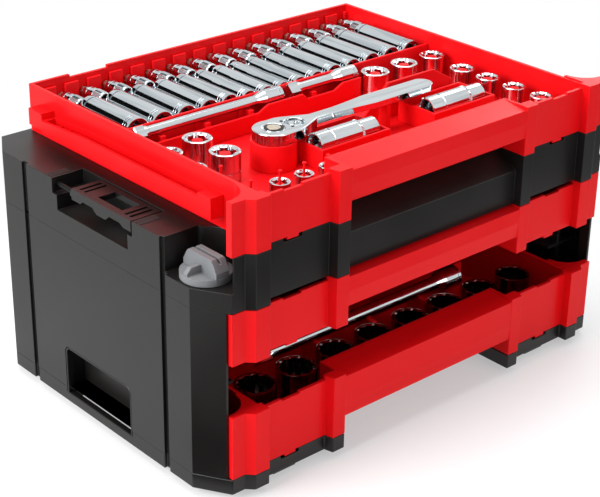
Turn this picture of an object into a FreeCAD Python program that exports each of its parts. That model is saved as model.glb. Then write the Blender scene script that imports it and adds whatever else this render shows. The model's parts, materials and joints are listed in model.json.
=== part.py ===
import FreeCAD, Part
import os
import re
import Sketcher

# Socket organizer drawer box: a black moulded housing with three drawer bays.
# The lower and upper drawers sit in their bays, and the middle drawer is lifted
# out and stands on the cover as an open tray of sockets, bars and a ratchet.
# X runs along the width, Y to the back, Z up. The origin is on the floor, under
# the middle of the box.

document = FreeCAD.newDocument("drawer_box")
sheet = document.addObject("Spreadsheet::Sheet", "sizes")

# Driving dimensions, in millimetres.
sizes = {
    # housing
    "width": 440,
    "depth": 303.2,
    "wall": 3,
    "cornerShort": 16.5,
    "cornerLong": 27.4,
    "footTall": 6,
    "footWide": 23,
    "footDeep": 20,
    "footInset": 63,
    "footSetback": 13.6,
    "baseTall": 13,
    "lowerPitch": 54,
    "middlePitch": 42.4,
    "upperPitch": 43.1,
    "coverTall": 44,
    "shelfDrop": 28,
    "grooveWide": 6,
    "grooveDeep": 2.5,
    "groovePlace": 90,
    "creaseDrop": 14.5,
    "creaseDeep": 24,
    "cutoutDeep": 56.6,
    "fieldEdge": 20,
    "fieldRib": 12,
    "fieldDrop": 16,
    "fieldDeep": 1,
    # front profile shared by base, drawers and cover
    "tabProud": 5.7,
    "tabStart": 11.9,
    "tabInset": 47.7,
    "panelRecess": 7.8,
    "postOuter": 107.5,
    "postInner": 95.2,
    "postRamp": 2,
    "keyPlace": 145,
    "keyWide": 11,
    "keyTall": 2.2,
    "notchWide": 18,
    "notchDeep": 3,
    # drawers
    "drawerGap": 0.8,
    "trayInset": 43,
    "trayWall": 3,
    "trayFloor": 2.5,
    "trayRimDrop": 1,
    "rimNotchIn": 38,
    "rimNotchLong": 38,
    "rimNotchDeep": 2.5,
    "panelDrop": 3.5,
    "handleRecess": 24.45,
    "handleEdge": 15,
    "handleDrop": 2.5,
    "handleCrease": 28,
    "handleLean": 0.6,
    "handleTuck": 1,
    "gussetRadius": 23,
    "railOut": 13,
    "railLow": 10.9,
    "railTall": 14.3,
    "railSkin": 2.5,
    "railSetback": 22,
    "railBlockTall": 17,
    "railBlockLong": 15,
    "railRearLong": 18.5,
    "railRearStep": 3,
    "railSlopeLong": 59,
    "railSlopeDrop": 3.2,
    "railRibThick": 1.5,
    "railRibPitch": 12,
    "hookLong": 6,
    "hookTall": 3,
    "hookThick": 2.7,
    "runnerGap": 0.3,
    "runnerThick": 2.5,
    "runnerLip": 2.7,
    "runnerLipTall": 8,
    "ledgeReach": 10,
    "cornerGap": 2.5,
    "flangeLong": 10,
    "flangeWide": 17,
    "flangeHalf": 9,
    "liftGap": 0.3,
    # side carrying recess and its catch bar
    "recessHalf": 45,
    "recessMiddle": 2.85,
    "recessTall": 51.7,
    "recessDeep": 18,
    "recessRound": 6,
    "catchBarThick": 6,
    "catchBarTall": 8,
    # lock knobs
    "knobInset": 21.5,
    "knobSetback": 40.75,
    "knobRadius": 19.5,
    "knobDisc": 5.5,
    "knobTall": 18.5,
    "knobGap": 0.3,
    "bladeWide": 12,
    "bladeSlot": 2.4,
    "shaftRadius": 4,
    "shaftPlay": 0.3,
    "flagReach": 15,
    "flagHalf": 4,
    "flagLow": 25.7,
    "flagTall": 4.5,
    "flagPlay": 1.3,
    "knobRimRadius": 24,
    "knobEdge": 0.6,
    "knobBlunt": 2,
    "knobRibWide": 4,
    "knobRibTall": 6,
    "clipRadius": 7.2,
    "clipThick": 1.2,
    # stacking latches
    "pinInset": 5.5,
    "pinDrop": 6,
    "pinRadius": 2,
    "pinPlay": 0.2,
    "latchFront": 49.2,
    "latchBack": 27,
    "latchInner": 28.3,
    "latchThick": 4.5,
    "latchSink": 0.3,
    "latchPocketFront": 50.85,
    "latchPocketBack": 53.35,
    "latchPocketDeep": 29.5,
    "latchPocketTall": 25,
    "latchStepTall": 12.5,
    "windowWide": 16,
    "windowLong": 31,
    "windowStart": 19,
    "windowEdge": 5.5,
    "lipEnd": 9,
    "lipWaist": 6,
    "lipMiddle": 10.5,
    "latchSlotWide": 3,
    "latchSlotDeep": 1.5,
    # screws
    "screwRadius": 1.75,
    "screwHead": 4,
    "screwHeadTall": 2.2,
    "screwPlay": 0.1,
    "screwInset": 11.5,
    "screwPlace": 70,
    "baseScrewLong": 27,
    "coverScrewLong": 18,
    "bossRadius": 5,
    # inserts, and how the tools rest in them
    "insertGap": 0.3,
    "insertThick": 1.5,
    "ridge": 2.5,
    "pegRadius": 4.4,
    "smallPeg": 3,
    "largePeg": 6.4,
    "pegDrop": 2,
    # shared shape of the sockets
    "hexShare": 0.7,
    "boreShare": 0.27,
    "ringPlace": 7,
    "ringWide": 1.4,
    "ringDeep": 0.7,
    # deep sockets lying in the grooved bed, smallest in the middle
    "deepLong": 66,
    "deepLeast": 16,
    "deepGrow": 1.14,
    "deepSpace": 1.8,
    "deepAxis": 22.3,
    "deepMiddle": 7.5,
    "bedDrop": 6,
    "bedPlay": 0.45,
    "bedInset": 4,
    "mouthRoom": 5,
    "bedWallTop": 30.2,
    # bit sockets behind them
    "bitMiddle": 7.5,
    "bitPitch": 22.5,
    "bitAxis": 25,
    "bitGap": 2.5,
    "bitCollar": 13,
    "bitCollarLong": 16,
    "bitNeck": 10.8,
    "bitNeckLong": 10,
    "bitTip": 6.4,
    "bitTipLong": 7.5,
    "combTop": 34.5,
    "combThick": 2.5,
    "combSlot": 9,
    # standing sockets: outer sizes, steps, and how far the rows stand from their neighbours
    "standTall": 24,
    "standLarge": 25,
    "standRight": 22,
    "standSmall": 16,
    "sizeStep": 1,
    "sideDrop": 2.5,
    "backRowGap": 13.7,
    "backRowStep": 35.1,
    "backRowRoom": 6.8,
    "rightRowIn": 19.7,
    "rightRowGap": 41.7,
    "rightRowStep": 30,
    "leftRowIn": 48.2,
    "leftRowGap": 26.9,
    "leftRowStep": 34,
    "sideRowIn": 13.7,
    "sideRowGap": 36.6,
    "sideRowStep": 31,
    "frontRowIn": 41.7,
    "frontRowGap": 9.9,
    "frontRowStep": 23.5,
    # extension bars and their channel
    "barAxis": 27.2,
    "barRadius": 4.2,
    "barHead": 13.6,
    "barHeadLong": 20,
    "barDrive": 9.5,
    "longBar": 150,
    "longBarIn": 13.9,
    "shortBar": 75,
    "barSpace": 9,
    "channelGap": 0.8,
    "channelDip": 5,
    "saddleIn": 12,
    "saddlePitch": 45,
    # ratchet
    "ratchetTop": 35.6,
    "ratchetThick": 9,
    "ratchetHead": 17,
    "ratchetLong": 189,
    "ratchetIn": 95.2,
    "ratchetDeep": 79.4,
    "neckWide": 10.4,
    "gripWide": 18.6,
    "gripThick": 6,
    "gripRestPlace": 118,
    "gripRestLong": 5,
    "gripWallTop": 35.8,
    "gripWallGap": 9,
    "gripWallStart": 112,
    "gripWallRise": 28,
    "gripWallIn": 34,
    "gripWallFall": 24,
    "postMargin": 1.5,
    "postBore": 9.5,
    "selectorPlace": 21.5,
    "selectorPocket": 8.2,
    "selectorRadius": 4.8,
    "selectorDeep": 3,
    "leverLong": 7.4,
    "leverWide": 2.4,
    "buttonRadius": 5.4,
    "ringRadius": 9.4,
    "driveRadius": 10.5,
    "driveThick": 2.6,
    "driveLong": 11,
    # long hollow sockets in their boxes
    "plugDeep": 57,
    "plugOneIn": 117.7,
    "plugTwoIn": 43.2,
    "plugLong": 63,
    "plugRadius": 10,
    "plugWall": 2.2,
    "plugStep": 46,
    "plugAxis": 22,
    "plugSpare": 5,
    "boxShelf": 14,
    "gripLong": 14,
    # contents of the lower and upper drawers
    "lowSocketTall": 38,
    "lowLarge": 34,
    "lowSmall": 26,
    "lowRowIn": 27.7,
    "lowFrontRow": 20.9,
    "lowBackRow": 41.5,
    "lowRowStep": 42.4,
    "dividerPlace": 92,
    "lowBarDeep": 50.9,
    "lowBarIn": 51.7,
    "lowBarLong": 230,
    "lowBarRadius": 6,
    "lowBarHead": 20,
    "lowBarDrive": 12.7,
    "lowSaddlePitch": 61,
    "upSocketTall": 25,
    "upRowIn": 23.7,
    "upRowBack": 30,
    "upRowGap": 62,
    "upRowStep": 33,
    "lowPegTall": 12,
    "upPegTall": 10,
}

for row, alias in enumerate(sizes, 1):
    sheet.set("A%d" % row, alias)
    sheet.set("B%d" % row, str(sizes[alias]))
    sheet.setAlias("B%d" % row, alias)
document.recompute()

aliasWord = re.compile(r"\b(" + "|".join(sizes) + r")\b")

# Places worked out from the driving dimensions.
side = "(width/2)"
back = "(depth/2)"
tabPlane = "(-depth/2)"
frontPlane = "(tabProud - depth/2)"
panelPlane = "(panelRecess - depth/2)"
recessWall = "(handleRecess - depth/2)"
cornerX = f"({side} - cornerShort)"
tabRamp = f"({cornerX} - tabStart)"
tabFlat = f"({tabRamp} - tabProud)"
tabEnd = f"({side} - tabInset)"
baseLow = "(footTall)"
baseLine = f"({baseLow} + baseTall)"
secondLine = f"({baseLine} + lowerPitch)"
thirdLine = f"({secondLine} + middlePitch)"
coverLine = f"({thirdLine} + upperPitch)"
coverTop = f"({coverLine} + coverTall)"
shelfTop = f"({coverTop} - shelfDrop)"
trayHalf = f"({side} - trayInset)"
trayBack = f"({back} - wall - drawerGap)"
railHalf = f"({trayHalf} + railOut)"
railBack = f"({back} - railSetback)"
shaftX = f"({side} - knobInset)"
shaftY = f"({tabPlane} + knobSetback)"
flagBack = f"({shaftY} + flagHalf + flagPlay)"
pinX = f"({side} - pinInset)"
pinZ = f"({coverTop} - pinDrop)"
recessFront = "(recessMiddle - recessHalf)"
recessBack = "(recessMiddle + recessHalf)"
screwX = f"({side} - screwInset)"
through = "1"


def bound(formula):
    """Refer every size word in a formula to the sheet."""
    return aliasWord.sub(lambda found: "sizes." + found.group(0), formula)


def amount(formula):
    return sheet.evalExpression(bound(formula))


def tie(piece, **formulas):
    for name, formula in formulas.items():
        piece.setExpression(name, bound(formula))


def place(piece, x, y, z):
    piece.setExpression("Placement.Base.x", bound(x))
    piece.setExpression("Placement.Base.y", bound(y))
    piece.setExpression("Placement.Base.z", bound(z))


def span(low, high):
    return f"({high}) - ({low})"


def block(name, x, y, z):
    """A box given by its low and high formulas along X, Y and Z."""
    piece = document.addObject("Part::Box", name)
    tie(piece, Length=span(*x), Width=span(*y), Height=span(*z))
    place(piece, x[0], y[0], z[0])
    return piece


turns = {
    "x": FreeCAD.Rotation(FreeCAD.Vector(0, 1, 0), 90),
    "y": FreeCAD.Rotation(FreeCAD.Vector(1, 0, 0), -90),
    "z": FreeCAD.Rotation(),
}


def rod(name, radius, length, x, y, z, axis="z"):
    """A cylinder that starts at a point and runs along the positive axis."""
    piece = document.addObject("Part::Cylinder", name)
    piece.Placement = FreeCAD.Placement(FreeCAD.Vector(), turns[axis])
    tie(piece, Radius=radius, Height=length)
    place(piece, x, y, z)
    return piece


def hexagon(name, across, length, x, y, z, axis="z"):
    """A hexagonal bar, by its size across flats."""
    piece = document.addObject("Part::Prism", name)
    piece.Polygon = 6
    piece.Placement = FreeCAD.Placement(FreeCAD.Vector(), turns[axis])
    tie(piece, Circumradius=f"({across})/sqrt(3)", Height=length)
    place(piece, x, y, z)
    return piece


planes = {
    "xy": FreeCAD.Rotation(),
    "yz": FreeCAD.Rotation(FreeCAD.Vector(1, 1, 1), 120),
    "xz": FreeCAD.Rotation(FreeCAD.Vector(1, 0, 0), 90),
}


def outline(name, points, start, length, plane="xy"):
    """A closed outline of formula points, extruded from start by length."""
    sketch = document.addObject("Sketcher::SketchObject", name + "Sketch")
    sketch.Placement = FreeCAD.Placement(FreeCAD.Vector(), planes[plane])
    corners = [FreeCAD.Vector(amount(a), amount(b), 0) for a, b in points]
    count = len(corners)
    for index in range(count):
        following = corners[(index + 1) % count]
        sketch.addGeometry(Part.LineSegment(corners[index], following))
    for index in range(count):
        sketch.addConstraint(
            Sketcher.Constraint("Coincident", index, 2, (index + 1) % count, 1))
    for index, (across, up) in enumerate(points):
        corner = corners[index]
        for kind, formula, now in (("DistanceX", across, corner.x), ("DistanceY", up, corner.y)):
            number = sketch.addConstraint(Sketcher.Constraint(kind, -1, 1, index, 1, now))
            sketch.setExpression("Constraints[%d]" % number, bound(formula))
    piece = document.addObject("Part::Extrusion", name)
    piece.Base = sketch
    piece.DirMode = "Normal"
    piece.Solid = True
    tie(piece, LengthFwd=length)
    direction = {"xy": "z", "yz": "x", "xz": "y"}[plane]
    piece.setExpression("Placement.Base." + direction, bound(start))
    return piece


def fuse(name, pieces):
    whole = document.addObject("Part::MultiFuse", name)
    whole.Shapes = pieces
    whole.Refine = True
    return whole


def cut(name, base, tools):
    tool = tools[0] if len(tools) == 1 else fuse(name + "Tools", tools)
    rest = document.addObject("Part::Cut", name)
    rest.Base = base
    rest.Tool = tool
    rest.Refine = True
    return rest


def group(name, pieces):
    whole = document.addObject("Part::Compound", name)
    whole.Links = pieces
    return whole


def mirrored(name, source):
    copy = document.addObject("Part::Mirroring", name)
    copy.Source = source
    copy.Normal = FreeCAD.Vector(1, 0, 0)
    copy.Base = FreeCAD.Vector()
    return copy


nodes = {}


def node(name, piece):
    piece.Label = name
    nodes[name] = piece
    return piece


def minus(formula):
    return f"-({formula})"


def both(points):
    """Points of the left half, followed by their mirror images."""
    return points + [(minus(x), y) for x, y in reversed(points)]


# Plan outline of the housing, from the back corner round to the middle.
planLeft = [
    (minus(cornerX), back),
    (minus(side), f"{back} - cornerLong"),
    (minus(side), f"{frontPlane} + cornerLong"),
    (minus(cornerX), frontPlane),
    (minus(tabRamp), frontPlane),
    (minus(tabFlat), tabPlane),
    (minus(tabEnd), tabPlane),
    (minus(tabEnd), panelPlane),
    ("-(postOuter + postRamp)", panelPlane),
    ("-postOuter", tabPlane),
    ("-postInner", tabPlane),
]


def notches(name, z):
    """Cuts in a front edge that receive the keys of the drawer above."""
    cuts = []
    for mark, sign in (("Left", "-"), ("Right", "")):
        middle = f"({sign}keyPlace)"
        cuts.append(block(name + mark,
                          (f"{middle} - notchWide/2", f"{middle} + notchWide/2"),
                          (f"{panelPlane} - {through}", f"{panelPlane} + 2*wall"),
                          z))
    return cuts


def grooves(name, low, high):
    """The two upright grooves of the left side, as solids to cut away."""
    cuts = []
    for mark, sign in (("Front", "-"), ("Back", "+")):
        middle = f"(recessMiddle {sign} groovePlace)"
        cuts.append(block(name + mark,
                          (f"-{side} - {through}", f"grooveDeep - {side}"),
                          (f"{middle} - grooveWide/2", f"{middle} + grooveWide/2"),
                          (low, high)))
    return cuts


def screwPlaces():
    return [("Front", "(recessMiddle - screwPlace)"), ("Back", "(recessMiddle + screwPlace)")]


# ---- base plate
def basePlate():
    slab = outline("baseSlab", both(planLeft + [("-postInner", f"cutoutDeep - depth/2")]),
                   baseLow, "baseTall")
    floor = f"({baseLow} + wall)"
    above = (floor, f"{baseLine} + {through}")
    behindCutout = f"(cutoutDeep - depth/2 + wall)"
    cornerFront = f"({frontPlane} + cornerLong)"
    cornerBack = f"({back} - cornerLong)"
    liner = f"({side} - recessDeep - wall)"
    inner = f"({side} - wall)"
    hollows = [
        block("baseHollowMid", (minus(liner), liner), (f"{recessFront} - wall", f"{recessBack} + wall"),
              above),
        block("baseHollowBack", (minus(inner), inner), (f"{recessBack} + wall", cornerBack), above),
        block("baseHollowRear", (minus(f"{cornerX} - wall"), f"{cornerX} - wall"),
              (cornerBack, f"{back} - wall"), above),
        block("baseHollowFront", (minus(inner), inner), (behindCutout, f"{recessFront} - wall"), above),
    ]
    keeps = []
    for mark, sign in (("Left", -1), ("Right", 1)):
        near, far = "(postInner + wall)", inner
        frontX = (minus(far), minus(near)) if sign < 0 else (near, far)
        hollows.append(block("baseHollowCorner" + mark, frontX, (cornerFront, behindCutout), above))
        cornerNear = f"({cornerX} - wall)"
        tipX = (minus(cornerNear), minus(near)) if sign < 0 else (near, cornerNear)
        hollows.append(block("baseHollowTip" + mark, tipX,
                             (f"{panelPlane} + wall", cornerFront), above))
        x = f"(-{shaftX})" if sign < 0 else shaftX
        keeps.append(rod("baseBearing" + mark, "shaftRadius + wall", "baseTall - wall", x, shaftY, floor))
    shell = cut("baseShell", slab, hollows)

    screwBosses = []
    screwHoles = []
    bearings = []
    for mark, sign in (("Left", "-"), ("Right", "")):
        for end, y in screwPlaces():
            x = f"({sign}{screwX})"
            screwBosses.append(rod("baseBoss" + mark + end, "bossRadius", "baseTall - wall", x, y, floor))
            screwHoles.append(rod("baseHole" + mark + end, "screwRadius + screwPlay",
                                  f"baseTall + 2*{through}", x, y, f"{baseLow} - {through}"))
            screwHoles.append(rod("baseSink" + mark + end, "screwHead + screwPlay",
                                  f"screwHeadTall + {through}", x, y, f"{baseLow} - {through}"))
        bearings.append(rod("baseBore" + mark, "shaftRadius + shaftPlay", "baseTall",
                            f"({sign}{shaftX})", shaftY, f"{floor} + wall"))
    feet = []
    for mark, sign in (("Left", -1), ("Right", 1)):
        low, high = f"({side} - footInset)", f"({side} - footInset - footWide)"
        x = (minus(low), minus(high)) if sign < 0 else (high, low)
        front = f"({tabPlane} + footSetback)"
        feet.append(block("footFront" + mark, x, (front, f"{front} + footDeep"), ("0", baseLow)))
        rear = f"({back} - footSetback)"
        feet.append(block("footBack" + mark, x, (f"{rear} - footDeep", rear), ("0", baseLow)))
    ribs = []
    for index in range(5):
        x = f"(width/8*({index} - 2))"
        ribs.append(block("baseRib%d" % index, (f"{x} - wall/2", f"{x} + wall/2"),
                          (behindCutout, f"{back} - wall"), (floor, f"{baseLine} - wall")))
    body = fuse("baseBody", [shell] + keeps + screwBosses + feet + ribs)

    cuts = screwHoles + bearings + notches("baseNotch", (f"{baseLine} - notchDeep",
                                                         f"{baseLine} + {through}"))
    for mark, sign in (("Left", -1), ("Right", 1)):
        outer = f"({side} + {through})"
        inside = f"({side} - recessDeep)"
        barInner = f"({side} - catchBarThick)"
        wide = (minus(outer), minus(inside)) if sign < 0 else (inside, outer)
        slot = (minus(barInner), minus(inside)) if sign < 0 else (inside, barInner)
        cuts.append(block("baseRecess" + mark, wide, (recessFront, recessBack),
                          (f"{baseLow} + catchBarTall", f"{baseLine} + {through}")))
        cuts.append(block("baseSlot" + mark, slot, (f"{recessFront} + wall", f"{recessBack} - wall"),
                          (f"{baseLow} - {through}", f"{baseLine} + {through}")))
    leftGrooves = grooves("baseGroove", f"{baseLow} - {through}", f"{baseLine} + {through}")
    rightGrooves = [mirrored(one.Name + "Right", one) for one in leftGrooves]
    return cut("basePlate", body, cuts + leftGrooves + rightGrooves)


node("base_plate", basePlate())


# ---- side walls, one mirrored from the other
drawerLines = [("lower", baseLine), ("middle", secondLine), ("upper", thirdLine)]


def drawerFloor(line):
    return f"({line} + drawerGap/2)"


def sideWall():
    outer = minus(side)
    inner = f"(wall - {side})"
    cornerFront = f"({frontPlane} + cornerLong)"
    cornerBack = f"({back} - cornerLong)"
    tall = f"{coverLine} - {baseLine}"
    flangeX = f"(-{cornerX} - runnerGap)"
    flangeY = f"({frontPlane} + cornerLong*cornerGap/cornerShort)"
    slant = f"(wall*cornerShort/cornerLong)"
    parts = [
        block("sideSkin", (outer, inner), (cornerFront, cornerBack), (baseLine, coverLine)),
        outline("sideFrontCorner", [
            (outer, cornerFront),
            (f"-{cornerX} - cornerGap", flangeY),
            (flangeX, flangeY),
            (flangeX, f"{flangeY} + flangeLong"),
            (f"{flangeX} - cornerGap", f"{flangeY} + flangeLong"),
            (f"{flangeX} - cornerGap", f"{flangeY} + 2*wall"),
            (inner, f"{cornerFront} + {slant}/2"),
            (outer, f"{cornerFront} + {slant}"),
        ], baseLine, tall),
        outline("sideBackCorner", [
            (outer, cornerBack),
            (f"-{cornerX}", back),
            (f"wall - {cornerX}", back),
            (f"wall - {cornerX}", f"{back} - wall"),
            (f"{slant} - {cornerX}", f"{back} - wall"),
            (inner, f"{cornerBack} - {slant}/2"),
            (outer, f"{cornerBack} - {slant}"),
        ], baseLine, tall),
        block("sideLiner", (outer, f"recessDeep + wall - {side}"),
              (f"{recessFront} - wall", f"{recessBack} + wall"),
              (baseLine, f"{baseLow} + recessTall + wall")),
    ]
    for mark, sign in (("Front", "-"), ("Back", "+")):
        middle = f"(recessMiddle {sign} groovePlace)"
        parts.append(block("sideGrooveRib" + mark, (inner, f"{inner} + grooveDeep"),
                           (f"{middle} - grooveWide", f"{middle} + grooveWide"),
                           (baseLine, coverLine)))
    ledgeFront = f"({shaftY} - shaftRadius - wall)"
    ledgeInner = f"(ledgeReach - {railHalf})"
    for name, line in drawerLines:
        under = f"({drawerFloor(line)} + railLow - runnerGap)"
        over = f"({drawerFloor(line)} + railLow + railBlockTall + runnerGap)"
        parts.append(block(name + "Ledge", (inner, ledgeInner), (ledgeFront, cornerBack),
                           (f"{under} - runnerThick", under)))
        lip = f"(-{railHalf} - runnerGap*2)"
        parts.append(block(name + "Lip", (f"{lip} - runnerLip", lip), (ledgeFront, cornerBack),
                           (f"{under} - runnerThick", f"{under} + runnerLipTall")))
        parts.append(block(name + "Guide", (inner, f"wall - {railHalf}"), (flagBack, cornerBack),
                           (over, f"{over} + runnerThick")))
    for end, y in screwPlaces():
        parts.append(rod("sideFootBoss" + end, "bossRadius - 0.5", "lowerPitch/2", minus(screwX), y,
                         baseLine))
        parts.append(block("sideTopFlange" + end, (inner, f"{inner} + flangeWide"),
                           (f"{y} - flangeHalf", f"{y} + flangeHalf"),
                           (f"{coverLine} - wall", coverLine)))
    body = fuse("sideBody", parts)

    low, high = f"{baseLine} - {through}", f"{coverLine} + {through}"
    inside = f"(recessDeep - {side})"
    out = f"(-{side} - {through})"
    recessTop = f"({baseLow} + recessTall)"
    cuts = grooves("sideGroove", low, high)
    cuts.append(block("recessLow", (out, inside), (recessFront, recessBack),
                      (low, f"{recessTop} - recessRound")))
    cuts.append(block("recessHigh", (out, inside),
                      (f"{recessFront} + recessRound", f"{recessBack} - recessRound"),
                      (f"{recessTop} - 2*recessRound", recessTop)))
    for end, y in (("Front", f"{recessFront} + recessRound"), ("Back", f"{recessBack} - recessRound")):
        cuts.append(rod("recessRound" + end, "recessRound", f"recessDeep + {through}", out, y,
                        f"{recessTop} - recessRound", "x"))
    cuts.append(rod("sideShaftHole", "shaftRadius + 2*shaftPlay", f"{high} - ({low})",
                    minus(shaftX), shaftY, low))
    for end, y in screwPlaces():
        cuts.append(rod("sideScrewHole" + end, "screwRadius + screwPlay", f"{high} - ({low})",
                        minus(screwX), y, low))
    return cut("sideWall", body, cuts)


leftWall = node("side_wall_left", sideWall())
node("side_wall_right", mirrored("sideWallRight", leftWall))


# ---- rear wall
def rearWall():
    half = f"({cornerX} - wall)"
    panel = block("rearPanel", (minus(half), half), (f"{back} - wall", back), (baseLine, coverLine))
    fields = []
    for mark, low, high in (("Left", f"-{half} + fieldEdge", "-fieldRib"),
                            ("Right", "fieldRib", f"{half} - fieldEdge")):
        fields.append(block("rearField" + mark, (low, high), (f"{back} - fieldDeep", f"{back} + {through}"),
                            (f"{baseLine} + fieldDrop", f"{coverLine} - fieldDrop")))
    return cut("rearWall", panel, fields)


node("rear_wall", rearWall())


# ---- top cover
def topCover():
    slab = outline("coverSlab", both(planLeft + [("-postInner", panelPlane)]), coverLine, "coverTall")
    low = f"({coverLine} - {through})"
    high = f"({coverTop} + {through})"
    inner = f"({side} - wall)"
    pocketWall = f"({side} - latchPocketDeep - wall)"
    rim = f"({shaftX} - knobRimRadius - wall)"
    kneeY = f"({shaftY} + knobRimRadius)"
    hollowFront = f"({kneeY} + wall)"
    under = (low, f"{coverTop} - wall")
    shelfUnder = (low, f"{shelfTop} - wall")
    cornerBack = f"({back} - cornerLong)"
    cuts = [
        block("coverHollow", (minus(pocketWall), pocketWall), (hollowFront, f"{back} - wall"), under),
        block("coverHollowFront", (minus(rim), rim), (f"{panelPlane} + wall", hollowFront),
              (low, f"{coverTop} - creaseDrop - wall")),
        block("coverHollowDeck", (minus(rim), rim),
              (f"{panelPlane} + creaseDeep + wall", hollowFront), under),
        outline("coverCrease", [
            (f"{panelPlane} - {through}", high),
            (f"{panelPlane} - {through}", f"{coverTop} - creaseDrop"),
            (panelPlane, f"{coverTop} - creaseDrop"),
            (f"{panelPlane} + creaseDeep", coverTop),
            (f"{panelPlane} + creaseDeep", high),
        ], "-postInner", "2*postInner", "yz"),
    ]
    cuts += notches("coverNotch", (f"{coverTop} - notchDeep", high))
    halves = []
    for end, y0, y1 in (("Front", hollowFront, "-latchPocketFront - wall"),
                        ("Back", "latchPocketBack + wall", cornerBack)):
        halves.append(block("coverSideHollow" + end, (minus(inner), minus(pocketWall)),
                            (y0, y1), under))
    halves.append(block("coverShelfHollow",
                        (f"-{shaftX} - knobRimRadius*0.6", f"-{shaftX} + knobRimRadius*0.7"),
                        (f"{shaftY} - 2*shaftRadius", hollowFront), shelfUnder))
    shelf = (shelfTop, high)
    halves.append(rod("knobPocket", "knobRimRadius", f"shelfDrop + {through}", minus(shaftX), shaftY,
                      shelfTop))
    halves.append(outline("knobOpening", [
        (f"-{side} - {through}", kneeY),
        (f"-{side} - {through}", f"{tabPlane} - {through}"),
        (f"-{cornerX} - {through}", f"{tabPlane} - {through}"),
        (f"-{cornerX} + wall", f"{frontPlane} + wall"),
        (f"-{shaftX} + knobRimRadius - 1", f"{shaftY} - knobRimRadius/2"),
        (f"-{shaftX} + knobRimRadius/2", shaftY),
        (f"-{shaftX} + knobRimRadius/2", kneeY),
    ], shelf[0], f"shelfDrop + {through}"))
    halves.append(rod("knobBore", "shaftRadius + shaftPlay", f"{shelfTop} - ({low}) + {through}",
                      minus(shaftX), shaftY, low))
    out = f"(-{side} - {through})"
    pocketX = (out, f"latchPocketDeep - {side}")
    pocketFloor = f"({coverTop} - latchPocketTall)"
    halves.append(block("latchPocketTop", pocketX, ("-latchPocketFront", "latchPocketBack"),
                        (f"{pocketFloor} + latchStepTall", high)))
    halves.append(block("latchPocketLow", pocketX,
                        ("-latchPocketFront + 2*wall", "latchPocketBack - 2*wall"),
                        (pocketFloor, high)))
    halves.append(rod("latchPinBore", "pinRadius + pinPlay/2", "latchPocketFront + latchPocketBack + 4*wall",
                      minus(pinX), "-latchPocketFront - 2*wall", pinZ, "y"))
    halves += grooves("coverGroove", low, high)
    for piece in halves:
        cuts.append(piece)
        cuts.append(mirrored(piece.Name + "Right", piece))
    shell = cut("coverShell", slab, cuts)

    bosses = []
    holes = []
    for mark, sign in (("Left", "-"), ("Right", "")):
        for end, y in screwPlaces():
            x = f"({sign}{screwX})"
            bosses.append(rod("coverBoss" + mark + end, "bossRadius - 0.5", "coverTall - wall", x, y,
                              coverLine))
            holes.append(rod("coverScrewHole" + mark + end, "screwRadius + screwPlay",
                             "coverTall/2", x, y, low))
    body = fuse("coverBody", [shell] + bosses)
    return cut("topCover", body, holes)


node("top_cover", topCover())


# ---- drawers: a tray, the front that closes it, and the two rails that carry it
def drawerTray(prefix, floor, tall):
    top = f"({floor} + {tall})"
    rim = f"({top} - trayRimDrop)"
    inner = f"({trayHalf} - trayWall)"
    near = "(postInner + trayWall)"
    front = f"({panelPlane} + trayWall)"
    left = [
        block(prefix + "Side", (minus(trayHalf), minus(inner)), (front, trayBack), (floor, rim)),
        block(prefix + "FrontFloor", (minus(trayHalf), minus(near)), (front, recessWall),
              (floor, f"{floor} + trayFloor")),
    ]
    return fuse(prefix + "Tray", [
        block(prefix + "Floor", (minus(trayHalf), trayHalf), (recessWall, trayBack),
              (floor, f"{floor} + trayFloor")),
        cut(prefix + "Back", block(prefix + "BackWall", (minus(trayHalf), trayHalf),
                                   (f"{trayBack} - trayWall", trayBack), (floor, rim)),
            [block(prefix + "RimNotch",
                   (f"rimNotchIn - {trayHalf}", f"rimNotchIn + rimNotchLong - {trayHalf}"),
                   (f"{trayBack} - trayWall - {through}", f"{trayBack} + {through}"),
                   (f"{rim} - rimNotchDeep", f"{rim} + {through}"))]),
        block(prefix + "RecessWall", (minus(near), near), (recessWall, f"{recessWall} + trayWall"),
              (floor, top)),
    ] + left + [mirrored(one.Name + "Right", one) for one in left])


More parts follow.
